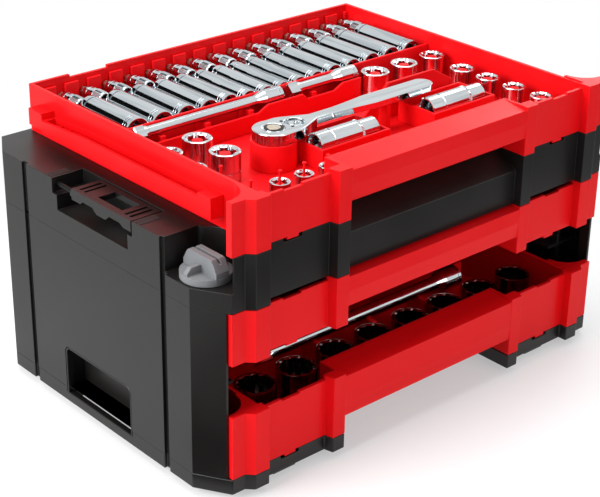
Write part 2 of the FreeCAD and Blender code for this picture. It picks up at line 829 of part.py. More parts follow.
def drawerFront(prefix, floor, tall):
    top = f"({floor} + {tall})"
    panelTop = f"({top} - panelDrop)"
    gussetX = f"({trayHalf} + gussetRadius)"
    gussetY = f"({frontPlane} + trayWall + gussetRadius)"
    handle = outline(prefix + "Handle", [
        (recessWall, top),
        (f"{tabPlane} + handleLean", f"{top} - handleDrop"),
        (tabPlane, f"{floor} + handleCrease"),
        (f"{tabPlane} + handleTuck", f"{floor} + handleEdge"),
        (f"{tabPlane} + handleTuck + trayWall", f"{floor} + handleEdge"),
        (f"{tabPlane} + trayWall", f"{floor} + handleCrease"),
        (f"{tabPlane} + handleLean + trayWall", f"{top} - handleDrop - trayWall"),
        (recessWall, f"{top} - trayWall"),
    ], "-postInner", "2*postInner", "yz")
    left = [
        block(prefix + "Panel", (minus(trayHalf), "-postInner"),
              (panelPlane, f"{panelPlane} + trayWall"), (floor, panelTop)),
        block(prefix + "Key", ("-keyPlace - keyWide/2", "-keyPlace + keyWide/2"),
              (panelPlane, f"{panelPlane} + trayWall"), (f"{floor} - keyTall", floor)),
        outline(prefix + "Post", [
            ("-(postOuter + postRamp)", panelPlane),
            ("-postOuter", tabPlane),
            ("-postInner", tabPlane),
            ("-postInner", recessWall),
            ("-postInner - trayWall", recessWall),
            ("-postInner - trayWall", f"{panelPlane} + trayWall"),
            ("-(postOuter + postRamp)", f"{panelPlane} + trayWall"),
        ], floor, tall),
        cut(prefix + "Corner", outline(prefix + "CornerBlock", [
            (minus(cornerX), frontPlane),
            (minus(tabRamp), frontPlane),
            (minus(tabFlat), tabPlane),
            (minus(tabEnd), tabPlane),
            (minus(tabEnd), f"{panelPlane} + trayWall"),
            (minus(trayHalf), f"{panelPlane} + trayWall"),
            (minus(trayHalf), gussetY),
            (minus(cornerX), gussetY),
        ], floor, tall), [
            rod(prefix + "Gusset", "gussetRadius - trayWall", f"{tall} + 2", minus(gussetX), gussetY,
                f"{floor} - 1"),
            block(prefix + "GussetSide", (f"-{gussetX} - gussetRadius", minus(gussetX)),
                  (f"{frontPlane} + 2*trayWall", f"{gussetY} + 1"), (f"{floor} - 1", f"{top} + 1")),
        ]),
    ]
    whole = fuse(prefix + "FrontShell", [handle] + left + [mirrored(one.Name + "Right", one) for one in left])
    return cut(prefix + "Front", whole, notches(prefix + "Notch", (f"{panelTop} - notchDeep/2", f"{top} + 1")))


def drawerRails(prefix, floor):
    """Two trough-shaped rails; a lock flag stops each one at its front block."""
    low = f"({floor} + railLow)"
    high = f"({low} + railTall)"
    blockTop = f"({low} + railBlockTall)"
    blockBack = f"({flagBack} + railBlockLong)"
    rearFront = f"({railBack} - railRearLong)"
    slopeStart = f"({rearFront} - railSlopeLong)"
    bar = outline(prefix + "RailBar", [
        (flagBack, low),
        (flagBack, blockTop),
        (blockBack, blockTop),
        (blockBack, high),
        (slopeStart, high),
        (rearFront, f"{high} - railSlopeDrop"),
        (rearFront, blockTop),
        (railBack, blockTop),
        (railBack, f"{low} + railRearStep"),
        (rearFront, f"{low} + railRearStep"),
        (rearFront, low),
    ], minus(railHalf), "railOut", "yz")
    trough = block(prefix + "RailTrough", (f"railSkin - {railHalf}", minus(f"{trayHalf} + railSkin/2")),
                   (blockBack, f"{rearFront} - railSkin"), (f"{low} + railSkin", f"{blockTop} + {through}"))
    ribs = [block(prefix + "RailRib%d" % index, (f"railSkin/2 - {railHalf}", minus(trayHalf)),
                  (f"{rearFront} - {index + 1}*railRibPitch - railRibThick",
                   f"{rearFront} - {index + 1}*railRibPitch"),
                  (low, f"{high} - 2*railSlopeDrop"))
            for index in range(3)]
    hook = block(prefix + "RailHook", (f"-{trayHalf} - hookThick", minus(trayHalf)),
                 (f"{flagBack} + hookLong", f"{flagBack} + 2*hookLong"), (f"{low} - hookTall", low))
    left = fuse(prefix + "Rail", [cut(prefix + "RailShell", bar, [trough])] + ribs + [hook])
    return group(prefix + "Rails", [left, mirrored(left.Name + "Right", left)])


lowerFloor = drawerFloor(baseLine)
upperFloor = drawerFloor(thirdLine)
liftedFloor = f"({coverTop} + liftGap)"
drawers = (
    ("lower", lowerFloor, "(lowerPitch - drawerGap)"),
    ("upper", upperFloor, "(upperPitch - drawerGap)"),
    ("middle", liftedFloor, "(middlePitch - drawerGap)"),
)
for name, floor, tall in drawers:
    node(name + "_drawer", drawerTray(name + "Drawer", floor, tall))
    node(name + "_drawer_front", drawerFront(name + "Drawer", floor, tall))
    node(name + "_drawer_rails", drawerRails(name + "Drawer", floor))


# ---- lock knobs, each on a shaft with one locking flag for each bay
def lockShaft():
    low = f"({baseLow} + 2*wall)"
    high = f"({shelfTop} + knobDisc + knobDisc)"
    parts = [rod("lockRod", "shaftRadius", f"{high} - {low}", minus(shaftX), shaftY, low)]
    for name, line in drawerLines:
        flag = f"({drawerFloor(line)} + flagLow)"
        parts.append(block(name + "Flag", (f"-{shaftX} - flagHalf", f"-{shaftX} + flagHalf"),
                           (f"{shaftY} - flagReach", shaftY), (flag, f"{flag} + flagTall")))
    return fuse("lockShaft", parts)


def lockClip():
    top = f"({shelfTop} - wall - knobGap)"
    ring = rod("clipRing", "clipRadius", "clipThick", minus(shaftX), shaftY, f"{top} - clipThick")
    hole = rod("clipHole", "shaftRadius", "3*clipThick", minus(shaftX), shaftY, f"{top} - 2*clipThick")
    return cut("lockClip", ring, [hole])


def lockKnob():
    low = f"({shelfTop} + knobGap)"
    disc = rod("knobDiscRound", "knobRadius", "knobDisc", minus(shaftX), shaftY, low)
    discTop = f"({low} + knobDisc)"
    high = f"({low} + knobTall)"
    inDisc = f"({discTop} - knobDisc/2)"
    reach = "(knobRadius - knobEdge)"
    shoulder = f"({reach} - 2*knobBlunt)"
    blade = outline("knobBlade", [
        (f"{shaftY} - {reach}", inDisc),
        (f"{shaftY} - {reach}", f"{discTop} + 2*knobBlunt"),
        (f"{shaftY} - {shoulder}", f"{high} - knobBlunt"),
        (f"{shaftY} - {shoulder} + knobBlunt", high),
        (f"{shaftY} + {shoulder} - knobBlunt", high),
        (f"{shaftY} + {shoulder}", f"{high} - knobBlunt"),
        (f"{shaftY} + {reach}", f"{discTop} + 2*knobBlunt"),
        (f"{shaftY} + {reach}", inDisc),
    ], f"-{shaftX} - bladeWide/2", "bladeWide", "yz")
    rib = outline("knobRib", [
        (f"-{shaftX} - {reach}", inDisc),
        (f"-{shaftX} - {reach}", f"{discTop} + knobBlunt"),
        (f"-{shaftX} - {shoulder}", f"{discTop} + knobRibTall"),
        (f"-{shaftX} + {shoulder}", f"{discTop} + knobRibTall"),
        (f"-{shaftX} + {reach}", f"{discTop} + knobBlunt"),
        (f"-{shaftX} + {reach}", inDisc),
    ], f"{shaftY} + knobRibWide/2", "knobRibWide", "xz")
    whole = fuse("knobWhole", [disc, blade, rib])
    slot = block("knobSlot", (f"-{shaftX} - bladeSlot/2", f"-{shaftX} + bladeSlot/2"),
                 (f"{shaftY} - knobRadius", f"{shaftY} + knobRadius"),
                 (f"{high} - 2*knobBlunt", f"{high} + {through}"))
    bore = rod("knobSocket", "shaftRadius + pinPlay/4", f"2*knobDisc + {through}", minus(shaftX), shaftY,
               f"{low} - {through}")
    return cut("lockKnob", whole, [slot, bore])


for name, make in (("lock_shaft", lockShaft), ("lock_clip", lockClip), ("lock_knob", lockKnob)):
    leftPiece = node(name + "_left", make())
    node(name + "_right", mirrored(leftPiece.Name + "Right", leftPiece))


# ---- stacking latches, folded flat into the cover
def stackLatch():
    top = f"({coverTop} - latchSink)"
    plate = block("latchPlate", (f"-{pinX} - pinRadius", f"latchInner - {side}"),
                  ("-latchFront", "latchBack"), (f"{top} - latchThick", top))
    barrel = rod("latchBarrel", f"2*pinRadius", "latchFront + latchBack + 2*pinRadius", minus(pinX),
                 "-latchFront", pinZ, "y")
    front = "(-latchFront)"
    lip = outline("latchLip", [
        ("latchBack", top),
        (front, top),
        (front, f"{top} - lipEnd"),
        (f"{front} + windowStart/2", f"{top} - lipEnd"),
        (f"{front} + windowStart*0.8", f"{top} - lipWaist"),
        (f"{front} + windowStart*1.4", f"{top} - lipWaist"),
        (f"{front} + windowStart*1.7", f"{top} - lipMiddle"),
        (f"{front} + windowStart*2.3", f"{top} - lipMiddle"),
        (f"{front} + windowStart*2.6", f"{top} - lipWaist"),
        ("latchBack - windowStart*0.8", f"{top} - lipWaist"),
        ("latchBack - windowStart*0.6", f"{top} - lipEnd"),
        ("latchBack", f"{top} - lipEnd"),
    ], f"latchSink - {side}", "wall", "yz")
    inner = f"(latchInner - {side})"
    rim = block("latchRim", (f"{inner} - latchSlotWide", inner), (front, "latchBack"),
                (f"{top} - 1.5*latchThick", top))
    body = fuse("latchBody", [plate, barrel, lip, rim])
    windowFront = f"({front} + windowStart)"
    window = block("latchWindow", (f"{inner} - windowEdge - windowWide", f"{inner} - windowEdge"),
                   (windowFront, f"{windowFront} + windowLong"),
                   (f"{top} - 3*latchThick", f"{top} + {through}"))
    slots = []
    for index, y in enumerate((f"{front} + 1.5*latchSlotWide", f"{front} + 3.5*latchSlotWide",
                               "latchBack - 2.5*latchSlotWide", "latchBack - 4.5*latchSlotWide")):
        slots.append(block("latchSlot%d" % index, (f"-{pinX} - {through}", f"{inner} - latchSlotWide"),
                           (y, f"{y} + latchSlotWide"), (f"{top} - latchSlotDeep", f"{top} + {through}")))
    bore = rod("latchBore", "pinRadius + pinPlay", "latchFront + latchBack + 8*pinRadius", minus(pinX),
               "-latchFront - 2*pinRadius", pinZ, "y")
    return cut("stackLatch", body, [window, bore] + slots)


leftLatch = node("stack_latch_left", stackLatch())
node("stack_latch_right", mirrored("stackLatchRight", leftLatch))
leftPin = node("latch_pin_left",
               rod("latchPin", "pinRadius", "latchPocketFront + latchPocketBack + 3*wall", minus(pinX),
                   "-latchPocketFront - 1.5*wall", pinZ, "y"))
node("latch_pin_right", mirrored("latchPinRight", leftPin))


# ---- screws
def screws(name, head, shank, long):
    made = []
    for mark, sign in (("Left", "-"), ("Right", "")):
        for end, y in screwPlaces():
            x = f"({sign}{screwX})"
            made.append(fuse(name + mark + end, [
                rod(name + "Head" + mark + end, "screwHead", "screwHeadTall", x, y, head),
                rod(name + "Shank" + mark + end, "screwRadius", long, x, y, shank),
            ]))
    return group(name, made)


node("base_screws", screws("baseScrews", baseLow, f"{baseLow} + screwHeadTall", "baseScrewLong"))
node("cover_screws", screws("coverScrews", f"{coverLine} - wall - screwHeadTall",
                            f"{coverLine} - wall", "coverScrewLong"))


# ---- sockets and the inserts that hold them
insertHalf = f"({trayHalf} - trayWall - insertGap)"
insertBack = f"({trayBack} - trayWall - insertGap)"
insertFront = f"({recessWall} + trayWall + insertGap)"
cornerFront = f"({panelPlane} + trayWall + insertGap)"
rest = "(insertGap/2)"


def insertPlate(prefix, floor):
    """The flat plate of a tray insert, shaped round the finger recess."""
    low = f"({floor} + trayFloor + insertGap)"
    top = f"({low} + insertThick)"
    near = "(postInner + trayWall + insertGap)"
    plate = fuse(prefix + "Body", [
        block(prefix + "Plate", (minus(insertHalf), insertHalf), (insertFront, insertBack), (low, top)),
        block(prefix + "PlateLeft", (minus(insertHalf), minus(near)), (cornerFront, insertFront), (low, top)),
        block(prefix + "PlateRight", (near, insertHalf), (cornerFront, insertFront), (low, top)),
    ])
    return plate, top


def fitting(first, step, limit):
    """How many copies stay within the limit, from the first on by the step."""
    return int(amount(f"({limit} - ({first}))/({step})")) + 1


def standingSocket(name, outer, tall, x, y, z, peg):
    """A socket standing on its drive end over a peg of the insert."""
    body = rod(name, f"({outer})/2", tall, x, y, z)
    hexHole = hexagon(name + "Hex", f"({outer})*hexShare", f"({tall})/2 + {through}", x, y,
                      f"{z} + ({tall})/2")
    bore = rod(name + "Bore", f"{peg} + insertGap", f"{tall} + 2*{through}", x, y, f"{z} - {through}")
    return cut(name + "Socket", body, [hexHole, bore])


def standingRow(prefix, count, start, step, outer, tall, peg, floor, pegTall=None):
    """Sockets in a straight row, each on its own peg; sizes and heights change by steps."""
    sockets = []
    pegs = []
    for index in range(count):
        x = f"({start[0]} + {index}*({step[0]}))"
        y = f"({start[1]} + {index}*({step[1]}))"
        name = "%s%d" % (prefix, index)
        high = f"({tall[0]} - {index}*({tall[1]}))"
        sockets.append(standingSocket(name, f"({outer[0]} - {index}*({outer[1]}))", high, x, y,
                                      f"{floor} + {rest}", peg))
        pegs.append(rod(name + "Peg", peg, pegTall or f"{high} - pegDrop", x, y, floor))
    return sockets, pegs


def rowNodes(prefix, rows):
    """One node for the pegs of several rows, and the list of their sockets."""
    node(prefix + "_pegs", group(prefix + "Pegs", [peg for sockets, pegs in rows for peg in pegs]))
    return [socket for sockets, pegs in rows for socket in sockets]


# middle drawer, from the back: bit sockets, deep sockets, their wall, then the bars
bitStart = f"({insertBack} - bitTipLong - bitNeckLong - bitCollarLong)"
deepBack = f"({bitStart} - bitGap)"
deepStart = f"({deepBack} - deepLong)"
bedFront = f"({deepStart} - mouthRoom - ridge)"
barLine = f"({bedFront} - insertGap - barHead/2)"
channelBack = f"({barLine} - barHead/2 - insertGap)"
channelFront = f"({channelBack} - ridge)"
longStart = f"(longBarIn - {insertHalf})"
shortStart = f"({longStart} + longBar + barSpace)"
channelEnd = f"({shortStart} + shortBar + channelGap)"
# and from the front: boxes of the long sockets, then the ratchet
plugLine = f"({insertFront} + plugDeep)"
ratchetLine = f"({insertFront} + ratchetDeep)"
ratchetX = f"(ratchetIn - {insertHalf})"
plugPlaces = (("One", f"(plugOneIn - {insertHalf})"), ("Two", f"({insertHalf} - plugTwoIn - plugLong)"))


def deepPlace(steps):
    """The place and outer size of the deep socket so many steps from the middle one."""
    grown = f"deepGrow*{abs(steps)}"
    return f"(deepMiddle + {steps}*(deepLeast + deepSpace + {grown}/2))", f"(deepLeast + {grown})"


def deepSteps():
    """The steps of all deep sockets that fit between the sides of the insert."""
    steps = range(-20, 21)
    edges = [(one, deepPlace(one)) for one in steps]
    return [one for one, (x, outer) in edges
            if abs(amount(x)) + amount(outer) / 2 < amount(f"{insertHalf} - insertGap")]


def deepSockets(floor):
    made = []
    beds = []
    z = f"({floor} + deepAxis)"
    mouth = f"({deepStart} - {through})"
    for index, steps in enumerate(deepSteps()):
        x, outer = deepPlace(steps)
        name = "deep%d" % index
        body = rod(name, f"{outer}/2", "deepLong", x, deepStart, z, "y")
        hexHole = hexagon(name + "Hex", f"{outer}*hexShare", "deepLong/2", x, mouth, z, "y")
        bore = rod(name + "Bore", f"{outer}*boreShare", f"deepLong + 2*{through}", x, mouth, z, "y")
        ringStart = f"({deepBack} - ringPlace)"
        ring = cut(name + "Ring", rod(name + "RingOut", outer, "ringWide", x, ringStart, z, "y"),
                   [rod(name + "RingIn", f"{outer}/2 - ringDeep", "3*ringWide", x, f"{ringStart} - ringWide",
                        z, "y")])
        made.append(cut(name + "Socket", body, [hexHole, bore, ring]))
        beds.append(rod(name + "Bed", f"{outer}/2 + bedPlay", "deepLong", x, deepStart, z, "y"))
    return made, beds


def bitPlace(steps):
    return f"(bitMiddle + {steps}*bitPitch)"


def bitSteps():
    """The steps of all bit sockets that fit between the sides of the insert."""
    limit = f"{insertHalf} - bitCollar/2 - insertGap"
    return [one for one in range(-20, 21) if abs(amount(bitPlace(one))) < amount(limit)]


def bitSockets(floor):
    collars = []
    tips = []
    z = f"({floor} + bitAxis)"
    for index, steps in enumerate(bitSteps()):
        x = bitPlace(steps)
        name = "bit%d" % index
        collar = rod(name + "Collar", "bitCollar/2", "bitCollarLong", x, bitStart, z, "y")
        neck = rod(name + "Neck", "bitNeck/2", "bitNeckLong", x, f"{bitStart} + bitCollarLong", z, "y")
        drive = rod(name + "Drive", "bitNeck/2 - ringDeep", "bitCollarLong", x, f"{bitStart} - {through}",
                    z, "y")
        collars.append(cut(name, fuse(name + "Body", [collar, neck]), [drive]))
        tips.append(hexagon(name + "Tip", "bitTip", "bitTipLong", x,
                            f"{bitStart} + bitCollarLong + bitNeckLong", z, "y"))
    return collars, tips


def socketBed(floor, top, beds):
    """The grooved bed of the deep sockets, its front wall, and the rack behind it."""
    whole = (minus(insertHalf), insertHalf)
    bed = cut("deepBed", block("deepBedBlock", whole,
                               (f"{deepStart} + bedInset", f"{deepBack} - bedInset"),
                               (top, f"{floor} + deepAxis - bedDrop")), beds)
    wall = block("bedWall", whole, (bedFront, f"{bedFront} + ridge"), (top, f"{floor} + bedWallTop"))
    lean = f"({bitStart} + bitCollarLong + ridge/2)"
    leanBar = block("bitRest", whole, (lean, f"{lean} + 2*ridge"),
                    (top, f"{floor} + bitAxis - bitNeck/2 - {rest}"))
    comb = block("bitComb", whole, (f"{insertBack} - combThick", insertBack), (top, f"{floor} + combTop"))
    slots = [block("bitSlot%d" % index,
                   (f"{bitPlace(steps)} - combSlot/2", f"{bitPlace(steps)} + combSlot/2"),
                   (f"{insertBack} - combThick - {through}", f"{insertBack} + {through}"),
                   (f"{floor} + bitAxis - combSlot/2", f"{floor} + combTop + {through}"))
             for index, steps in enumerate(bitSteps())]
    return [bed, wall, leanBar, cut("bitRack", comb, slots)]


def barChannel(floor, top):
    """The front wall and the saddles that hold the two extension bars."""
    low = f"({floor} + barAxis - barRadius - {rest})"
    wallTop = f"({floor} + barAxis - ridge)"
    dip = f"({wallTop} - channelDip)"
    longHead = f"({longStart} + longBar - barHeadLong)"
    shortHead = f"({shortStart} + shortBar - barHeadLong)"
    made = [outline("barWall", [
        (minus(insertHalf), top),
        (minus(insertHalf), wallTop),
        (longStart, wallTop),
        (f"{longStart} + channelDip", dip),
        (f"{longHead} - 2*channelDip", dip),
        (longHead, wallTop),
        (f"{shortStart} + barDrive", wallTop),
        (f"{shortStart} + barDrive + channelDip", dip),
        (f"{shortHead} - 2*channelDip", dip),
        (shortHead, wallTop),
        (channelEnd, wallTop),
        (channelEnd, top),
    ], channelBack, "ridge", "xz")]
    for mark, start, head in (("Long", longStart, longHead), ("Short", shortStart, shortHead)):
        first = f"({start} + barDrive + saddleIn)"
        for index in range(fitting(first, "saddlePitch", f"{head} - 3*ridge")):
            x = f"({first} + {index}*saddlePitch)"
            made.append(block("barSaddle%s%d" % (mark, index), (x, f"{x} + 2*ridge"),
                              (channelBack, bedFront), (top, low)))
    return made


def ratchetSeat(floor, top):
    """The round post under the ratchet's head, the rest under its grip and the wall behind it."""
    low = f"({floor} + ratchetTop - ratchetThick - {rest})"
    post = rod("ratchetPost", "ratchetHead + postMargin", f"{low} - {top}", ratchetX, ratchetLine, top)
    hole = rod("ratchetHole", "postBore", f"{low} - {top} + {through}", ratchetX, ratchetLine, top)
    gripLow = f"({floor} + ratchetTop - gripThick - {rest})"
    restX = f"({ratchetX} + gripRestPlace)"
    gripRest = block("gripRest", (restX, f"{restX} + gripRestLong"),
                     (f"{ratchetLine} - gripWide/4", f"{ratchetLine} + gripWide/4"), (top, gripLow))
    wallTop = f"({floor} + gripWallTop)"
    start = f"({ratchetX} + gripWallStart)"
    end = f"({insertHalf} - gripWallIn)"
    gripWall = outline("gripWall", [
        (start, top),
        (start, f"{floor} + deepAxis/2"),
        (f"{start} + gripWallRise", wallTop),
        (f"{end} - gripWallFall", wallTop),
        (end, f"{floor} + plugAxis"),
        (end, top),
    ], f"{ratchetLine} + gripWide/2 + gripWallGap", "ridge", "xz")
    return [cut("ratchetWell", post, [hole]), gripRest, gripWall]


def plugBoxes(floor, top):
    """A box for each long socket, with a shelf of finger room behind it."""
    made = []
    room = f"({floor} + plugAxis - plugRadius - {rest})"
    rim = f"({floor} + plugAxis + insertGap)"
    front = f"({plugLine} - plugRadius - insertGap)"
    behind = f"({plugLine} + plugRadius + insertGap)"
    for mark, x in plugPlaces:
        ends = (f"{x} - insertGap", f"{x} + plugLong + plugSpare")
        outer = block("plugBox" + mark, (f"{ends[0]} - ridge", f"{ends[1]} + ridge"),
                      (f"{front} - ridge", f"{behind} + boxShelf + 2*ridge"), (top, rim))
        hollows = [block("plugRoom" + mark, ends, (front, behind), (room, f"{rim} + {through}")),
                   block("plugShelf" + mark, ends, (f"{behind} + ridge", f"{behind} + ridge + boxShelf"),
                         (f"{top} + ridge", f"{rim} + {through}"))]
        made.append(cut("plugTray" + mark, outer, hollows))
    return made


def middleRows(top):
    """The five rows of standing sockets round the tools."""
    none = "0"
    backRow = (f"({channelEnd} + backRowGap)", f"({bedFront} - backRowRoom - standLarge/2)")
    rightRow = (f"({insertHalf} - rightRowIn)", f"({backRow[1]} - rightRowGap)")
    leftRow = (f"(leftRowIn - {insertHalf})", f"({channelFront} - leftRowGap)")
    sideRow = (f"(sideRowIn - {insertHalf})", f"({channelFront} - sideRowGap)")
    frontRow = (f"(frontRowIn - {insertHalf})", f"({insertFront} + frontRowGap)")
    counts = (
        fitting(backRow[0], "backRowStep", f"{insertHalf} - insertGap - standLarge/2"),
        fitting(rightRow[1], "-rightRowStep", f"{cornerFront} + insertGap + standRight/2"),
        fitting(leftRow[1], "-leftRowStep", ratchetLine),
        fitting(sideRow[1], "-sideRowStep", f"{frontRow[1]} + standSmall/2 + standRight/2"),
        fitting(frontRow[0], "frontRowStep", f"{plugPlaces[0][1]} - 2*ridge - standSmall/2"),
    )
    plain = ("standTall", none)
    return [
        standingRow("backRow", counts[0], backRow, ("backRowStep", none), ("standLarge", "sizeStep"),
                    plain, "pegRadius", top),
        standingRow("rightRow", counts[1], rightRow, (none, "-rightRowStep"), ("standRight", "sizeStep"),
                    plain, "pegRadius", top),
        standingRow("leftRow", counts[2], leftRow, (none, "-leftRowStep"),
                    ("standLarge - sizeStep", "-sizeStep"), plain, "pegRadius", top),
        standingRow("sideRow", counts[3], sideRow, (none, "-sideRowStep"),
                    ("standRight - sizeStep", "sizeStep"), ("standTall", "sideDrop"), "pegRadius", top),
        standingRow("frontRow", counts[4], frontRow, ("frontRowStep", none), ("standSmall", "sizeStep"),
                    plain, "smallPeg", top),
    ]


def middleInsert(floor):
    plate, top = insertPlate("middleInsert", floor)
    deep, beds = deepSockets(floor)
    collars, tips = bitSockets(floor)
    node("middle_insert", plate)
    node("middle_socket_bed", group("middleSocketBed", socketBed(floor, top, beds)))
    node("middle_tool_rests", group("middleToolRests", [fuse("barChannel", barChannel(floor, top))]
                                    + ratchetSeat(floor, top) + plugBoxes(floor, top)))
    node("deep_sockets", group("deepSocketsAll", deep))
    node("bit_sockets", group("bitSocketsAll", collars))
    node("bit_tips", group("bitTipsAll", tips))
    node("standing_sockets", group("standingAll", rowNodes("middle", middleRows(top))))


def extensionBar(name, start, long, y, z, radius, head, headLong, drive):
    """A bar along X with a square drive on the left and a square hole on the right."""
    across = ((f"{y} - {drive}/2", f"{y} + {drive}/2"), (f"{z} - {drive}/2", f"{z} + {drive}/2"))
    square = block(name + "Square", (start, f"{start} + {drive}"), *across)
    shank = rod(name + "Shank", radius, f"{long} - {headLong} - {drive}", f"{start} + {drive}", y, z, "x")
    end = rod(name + "Head", f"{head}/2", headLong, f"{start} + {long} - {headLong}", y, z, "x")
    hole = block(name + "Hole", (f"{start} + {long} - {drive}", f"{start} + {long} + {through}"), *across)
    return cut(name, fuse(name + "Whole", [square, shank, end]), [hole])


def ratchet(floor):
    top = f"({floor} + ratchetTop)"
    low = f"({top} - ratchetThick)"
    x, y = ratchetX, ratchetLine
    head = rod("ratchetHeadRound", "ratchetHead", "ratchetThick", x, y, low)
    end = "(ratchetLong - ratchetHead - gripWide/2)"
    taper = [
        (x, "ratchetHead*0.97"),
        (f"{x} + ratchetHead*0.85", "ratchetHead*0.97"),
        (f"{x} + ratchetHead*1.2", "ratchetHead*0.85"),
        (f"{x} + ratchetHead*1.9", "ratchetHead*0.53"),
        (f"{x} + ratchetHead*2.4", "neckWide/2"),
    ]
    shank = [
        (f"{x} + ratchetHead*2.3", "neckWide/2"),
        (f"{x} + {end}*0.4", "neckWide*0.52"),
        (f"{x} + {end}*0.5", "gripWide*0.37"),
        (f"{x} + {end}*0.62", "gripWide/2"),
        (f"{x} + {end}", "gripWide/2"),
    ]

    def bothSides(points):
        return ([(across, f"{y} + {half}") for across, half in points]
                + [(across, f"{y} - {half}") for across, half in reversed(points)])

    cheek = outline("ratchetCheek", bothSides(taper), low, "ratchetThick")
    handle = outline("ratchetHandle", bothSides(shank), f"{top} - gripThick", "gripThick")
    tail = rod("ratchetTail", "gripWide/2", "gripThick", f"{x} + {end}", y, f"{top} - gripThick")
    body = fuse("ratchetWhole", [head, cheek, handle, tail])

    selectorX = f"({x} + selectorPlace)"
    pocketLow = f"({top} - selectorDeep)"
    cuts = [
        rod("selectorPocketCut", "selectorPocket", f"selectorDeep + {through}", selectorX, y, pocketLow),
        rod("buttonBore", "buttonRadius + insertGap", f"selectorDeep + {through}", x, y, pocketLow),
        cut("buttonRing", rod("buttonRingOut", "ringRadius", f"1 + {through}", x, y, f"{top} - 1"),
            [rod("buttonRingIn", "ringRadius - ringWide", f"1 + 2*{through}", x, y,
                 f"{top} - 1 - {through}/2")]),
        rod("driveBore", "driveRadius + insertGap", f"driveThick + insertGap + {through}", x, y,
            f"{low} - {through}"),
    ]
    node("ratchet_body", cut("ratchetBody", body, cuts))
    pieceLow = f"({pocketLow} + {rest})"
    disc = rod("selectorDisc", "selectorRadius", "selectorDeep/2", selectorX, y, pieceLow)
    lever = block("selectorLever", (selectorX, f"{selectorX} + leverLong"),
                  (f"{y} - leverWide/2", f"{y} + leverWide/2"), (pieceLow, f"{top} + {rest}"))
    node("ratchet_selector", fuse("ratchetSelector", [disc, lever]))
    node("ratchet_button", rod("ratchetButton", "buttonRadius", "selectorDeep + leverWide/4", x, y, pieceLow))
    plate = rod("driveDisc", "driveRadius", "driveThick", x, y, low)
    drive = block("driveSquare", (f"{x} - barDrive/2", f"{x} + barDrive/2"),
                  (f"{y} - barDrive/2", f"{y} + barDrive/2"), (f"{low} - driveLong", low))
    node("ratchet_drive", fuse("ratchetDrive", [plate, drive]))


def plugSockets(floor):
    """Long hollow sockets, each with a soft gripping ring inside."""
    sockets = []
    grips = []
    z = f"({floor} + plugAxis)"
    y = plugLine
    hollow = "(plugRadius - plugWall)"
    for mark, x in plugPlaces:
        name = "plug" + mark
        wide = rod(name + "Wide", "plugRadius", "plugStep", x, y, z, "x")
        narrow = rod(name + "Narrow", "plugRadius - plugWall/2", "plugLong - plugStep",
                     f"{x} + plugStep", y, z, "x")
        bore = rod(name + "Hollow", hollow, f"plugStep + {through}", f"{x} - {through}", y, z, "x")
        drive = block(name + "Drive", (x, f"{x} + plugLong + {through}"),
                      (f"{y} - barDrive/2", f"{y} + barDrive/2"), (f"{z} - barDrive/2", f"{z} + barDrive/2"))
        sockets.append(cut(name, fuse(name + "Body", [wide, narrow]), [bore, drive]))
        ringStart = f"({x} + plugStep/2)"
        ring = rod(name + "GripRing", hollow, "gripLong", ringStart, y, z, "x")
        inside = rod(name + "GripHole", f"{hollow} - plugWall", f"gripLong + 2*{through}",
                     f"{ringStart} - {through}", y, z, "x")
        grips.append(cut(name + "Grip", ring, [inside]))
    node("spark_plug_sockets", group("plugSocketsAll", sockets))
    node("plug_socket_grips", group("plugGripsAll", grips))


middleInsert(liftedFloor)
barZ = f"({liftedFloor} + barAxis)"
for name, start, long in (("long", longStart, "longBar"), ("short", shortStart, "shortBar")):
    node(name + "_extension_bar", extensionBar(name + "Extension", start, long, barLine, barZ,
                                               "barRadius", "barHead", "barHeadLong", "barDrive"))
ratchet(liftedFloor)
plugSockets(liftedFloor)


# ---- lower drawer: two rows of large standing sockets and a long bar
def lowerContents(floor):
    plate, top = insertPlate("lowerInsert", floor)
    rowX = f"(lowRowIn - {insertHalf})"
    rows = []
    for mark, y, outer in (("Front", f"({insertFront} + lowFrontRow)", "lowLarge"),
                           ("Back", f"({insertBack} - lowBackRow)", "lowSmall")):
        count = fitting(rowX, "lowRowStep", f"{insertHalf} - insertGap - lowLarge/2")
        rows.append(standingRow("low" + mark, count, (rowX, y), ("lowRowStep", "0"),
                                (outer, "sizeStep/2"), ("lowSocketTall", "0"), "largePeg", top,
                                "lowPegTall"))
    barX = f"(lowBarIn - {insertHalf})"
    barY = f"({insertFront} + lowBarDeep)"
    barZ = f"({top} + lowSocketTall)"
    saddleTop = f"({barZ} - lowBarRadius - {rest})"
    end = f"({barX} + lowBarLong)"
    saddles = [f"({barX} + {index}*lowSaddlePitch)" for index in (1, 2, 3)]
    posts = [block("lowSaddle%d" % index, (x, f"{x} + 2*ridge"),
                   (f"{barY} - lowBarHead/2", f"{barY} + lowBarHead/2"), (top, saddleTop))
             for index, x in enumerate(saddles)]
    posts.append(outline("lowWall", [
        (saddles[0], top),
        (saddles[0], saddleTop),
        (f"{end} - lowBarRadius", saddleTop),
        (end, f"{barZ} + ridge"),
        (f"{end} + lowBarHead", f"{barZ} + ridge"),
        (f"{end} + lowBarHead", top),
    ], f"{barY} + lowBarHead/2 + ridge", "ridge", "xz"))
    divider = f"({insertBack} - dividerPlace)"
    posts.append(block("lowDivider", (minus(insertHalf), insertHalf), (divider, f"{divider} + ridge"),
                       (top, saddleTop)))
    node("lower_insert", plate)
    node("lower_tool_rests", group("lowerToolRests", posts))
    node("lower_sockets", group("lowerSocketsAll", rowNodes("lower", rows)))
    node("lower_extension_bar", extensionBar("lowerExtension", barX, "lowBarLong", barY, barZ,
                                             "lowBarRadius", "lowBarHead", "barHeadLong",
                                             "lowBarDrive"))


lowerContents(lowerFloor)


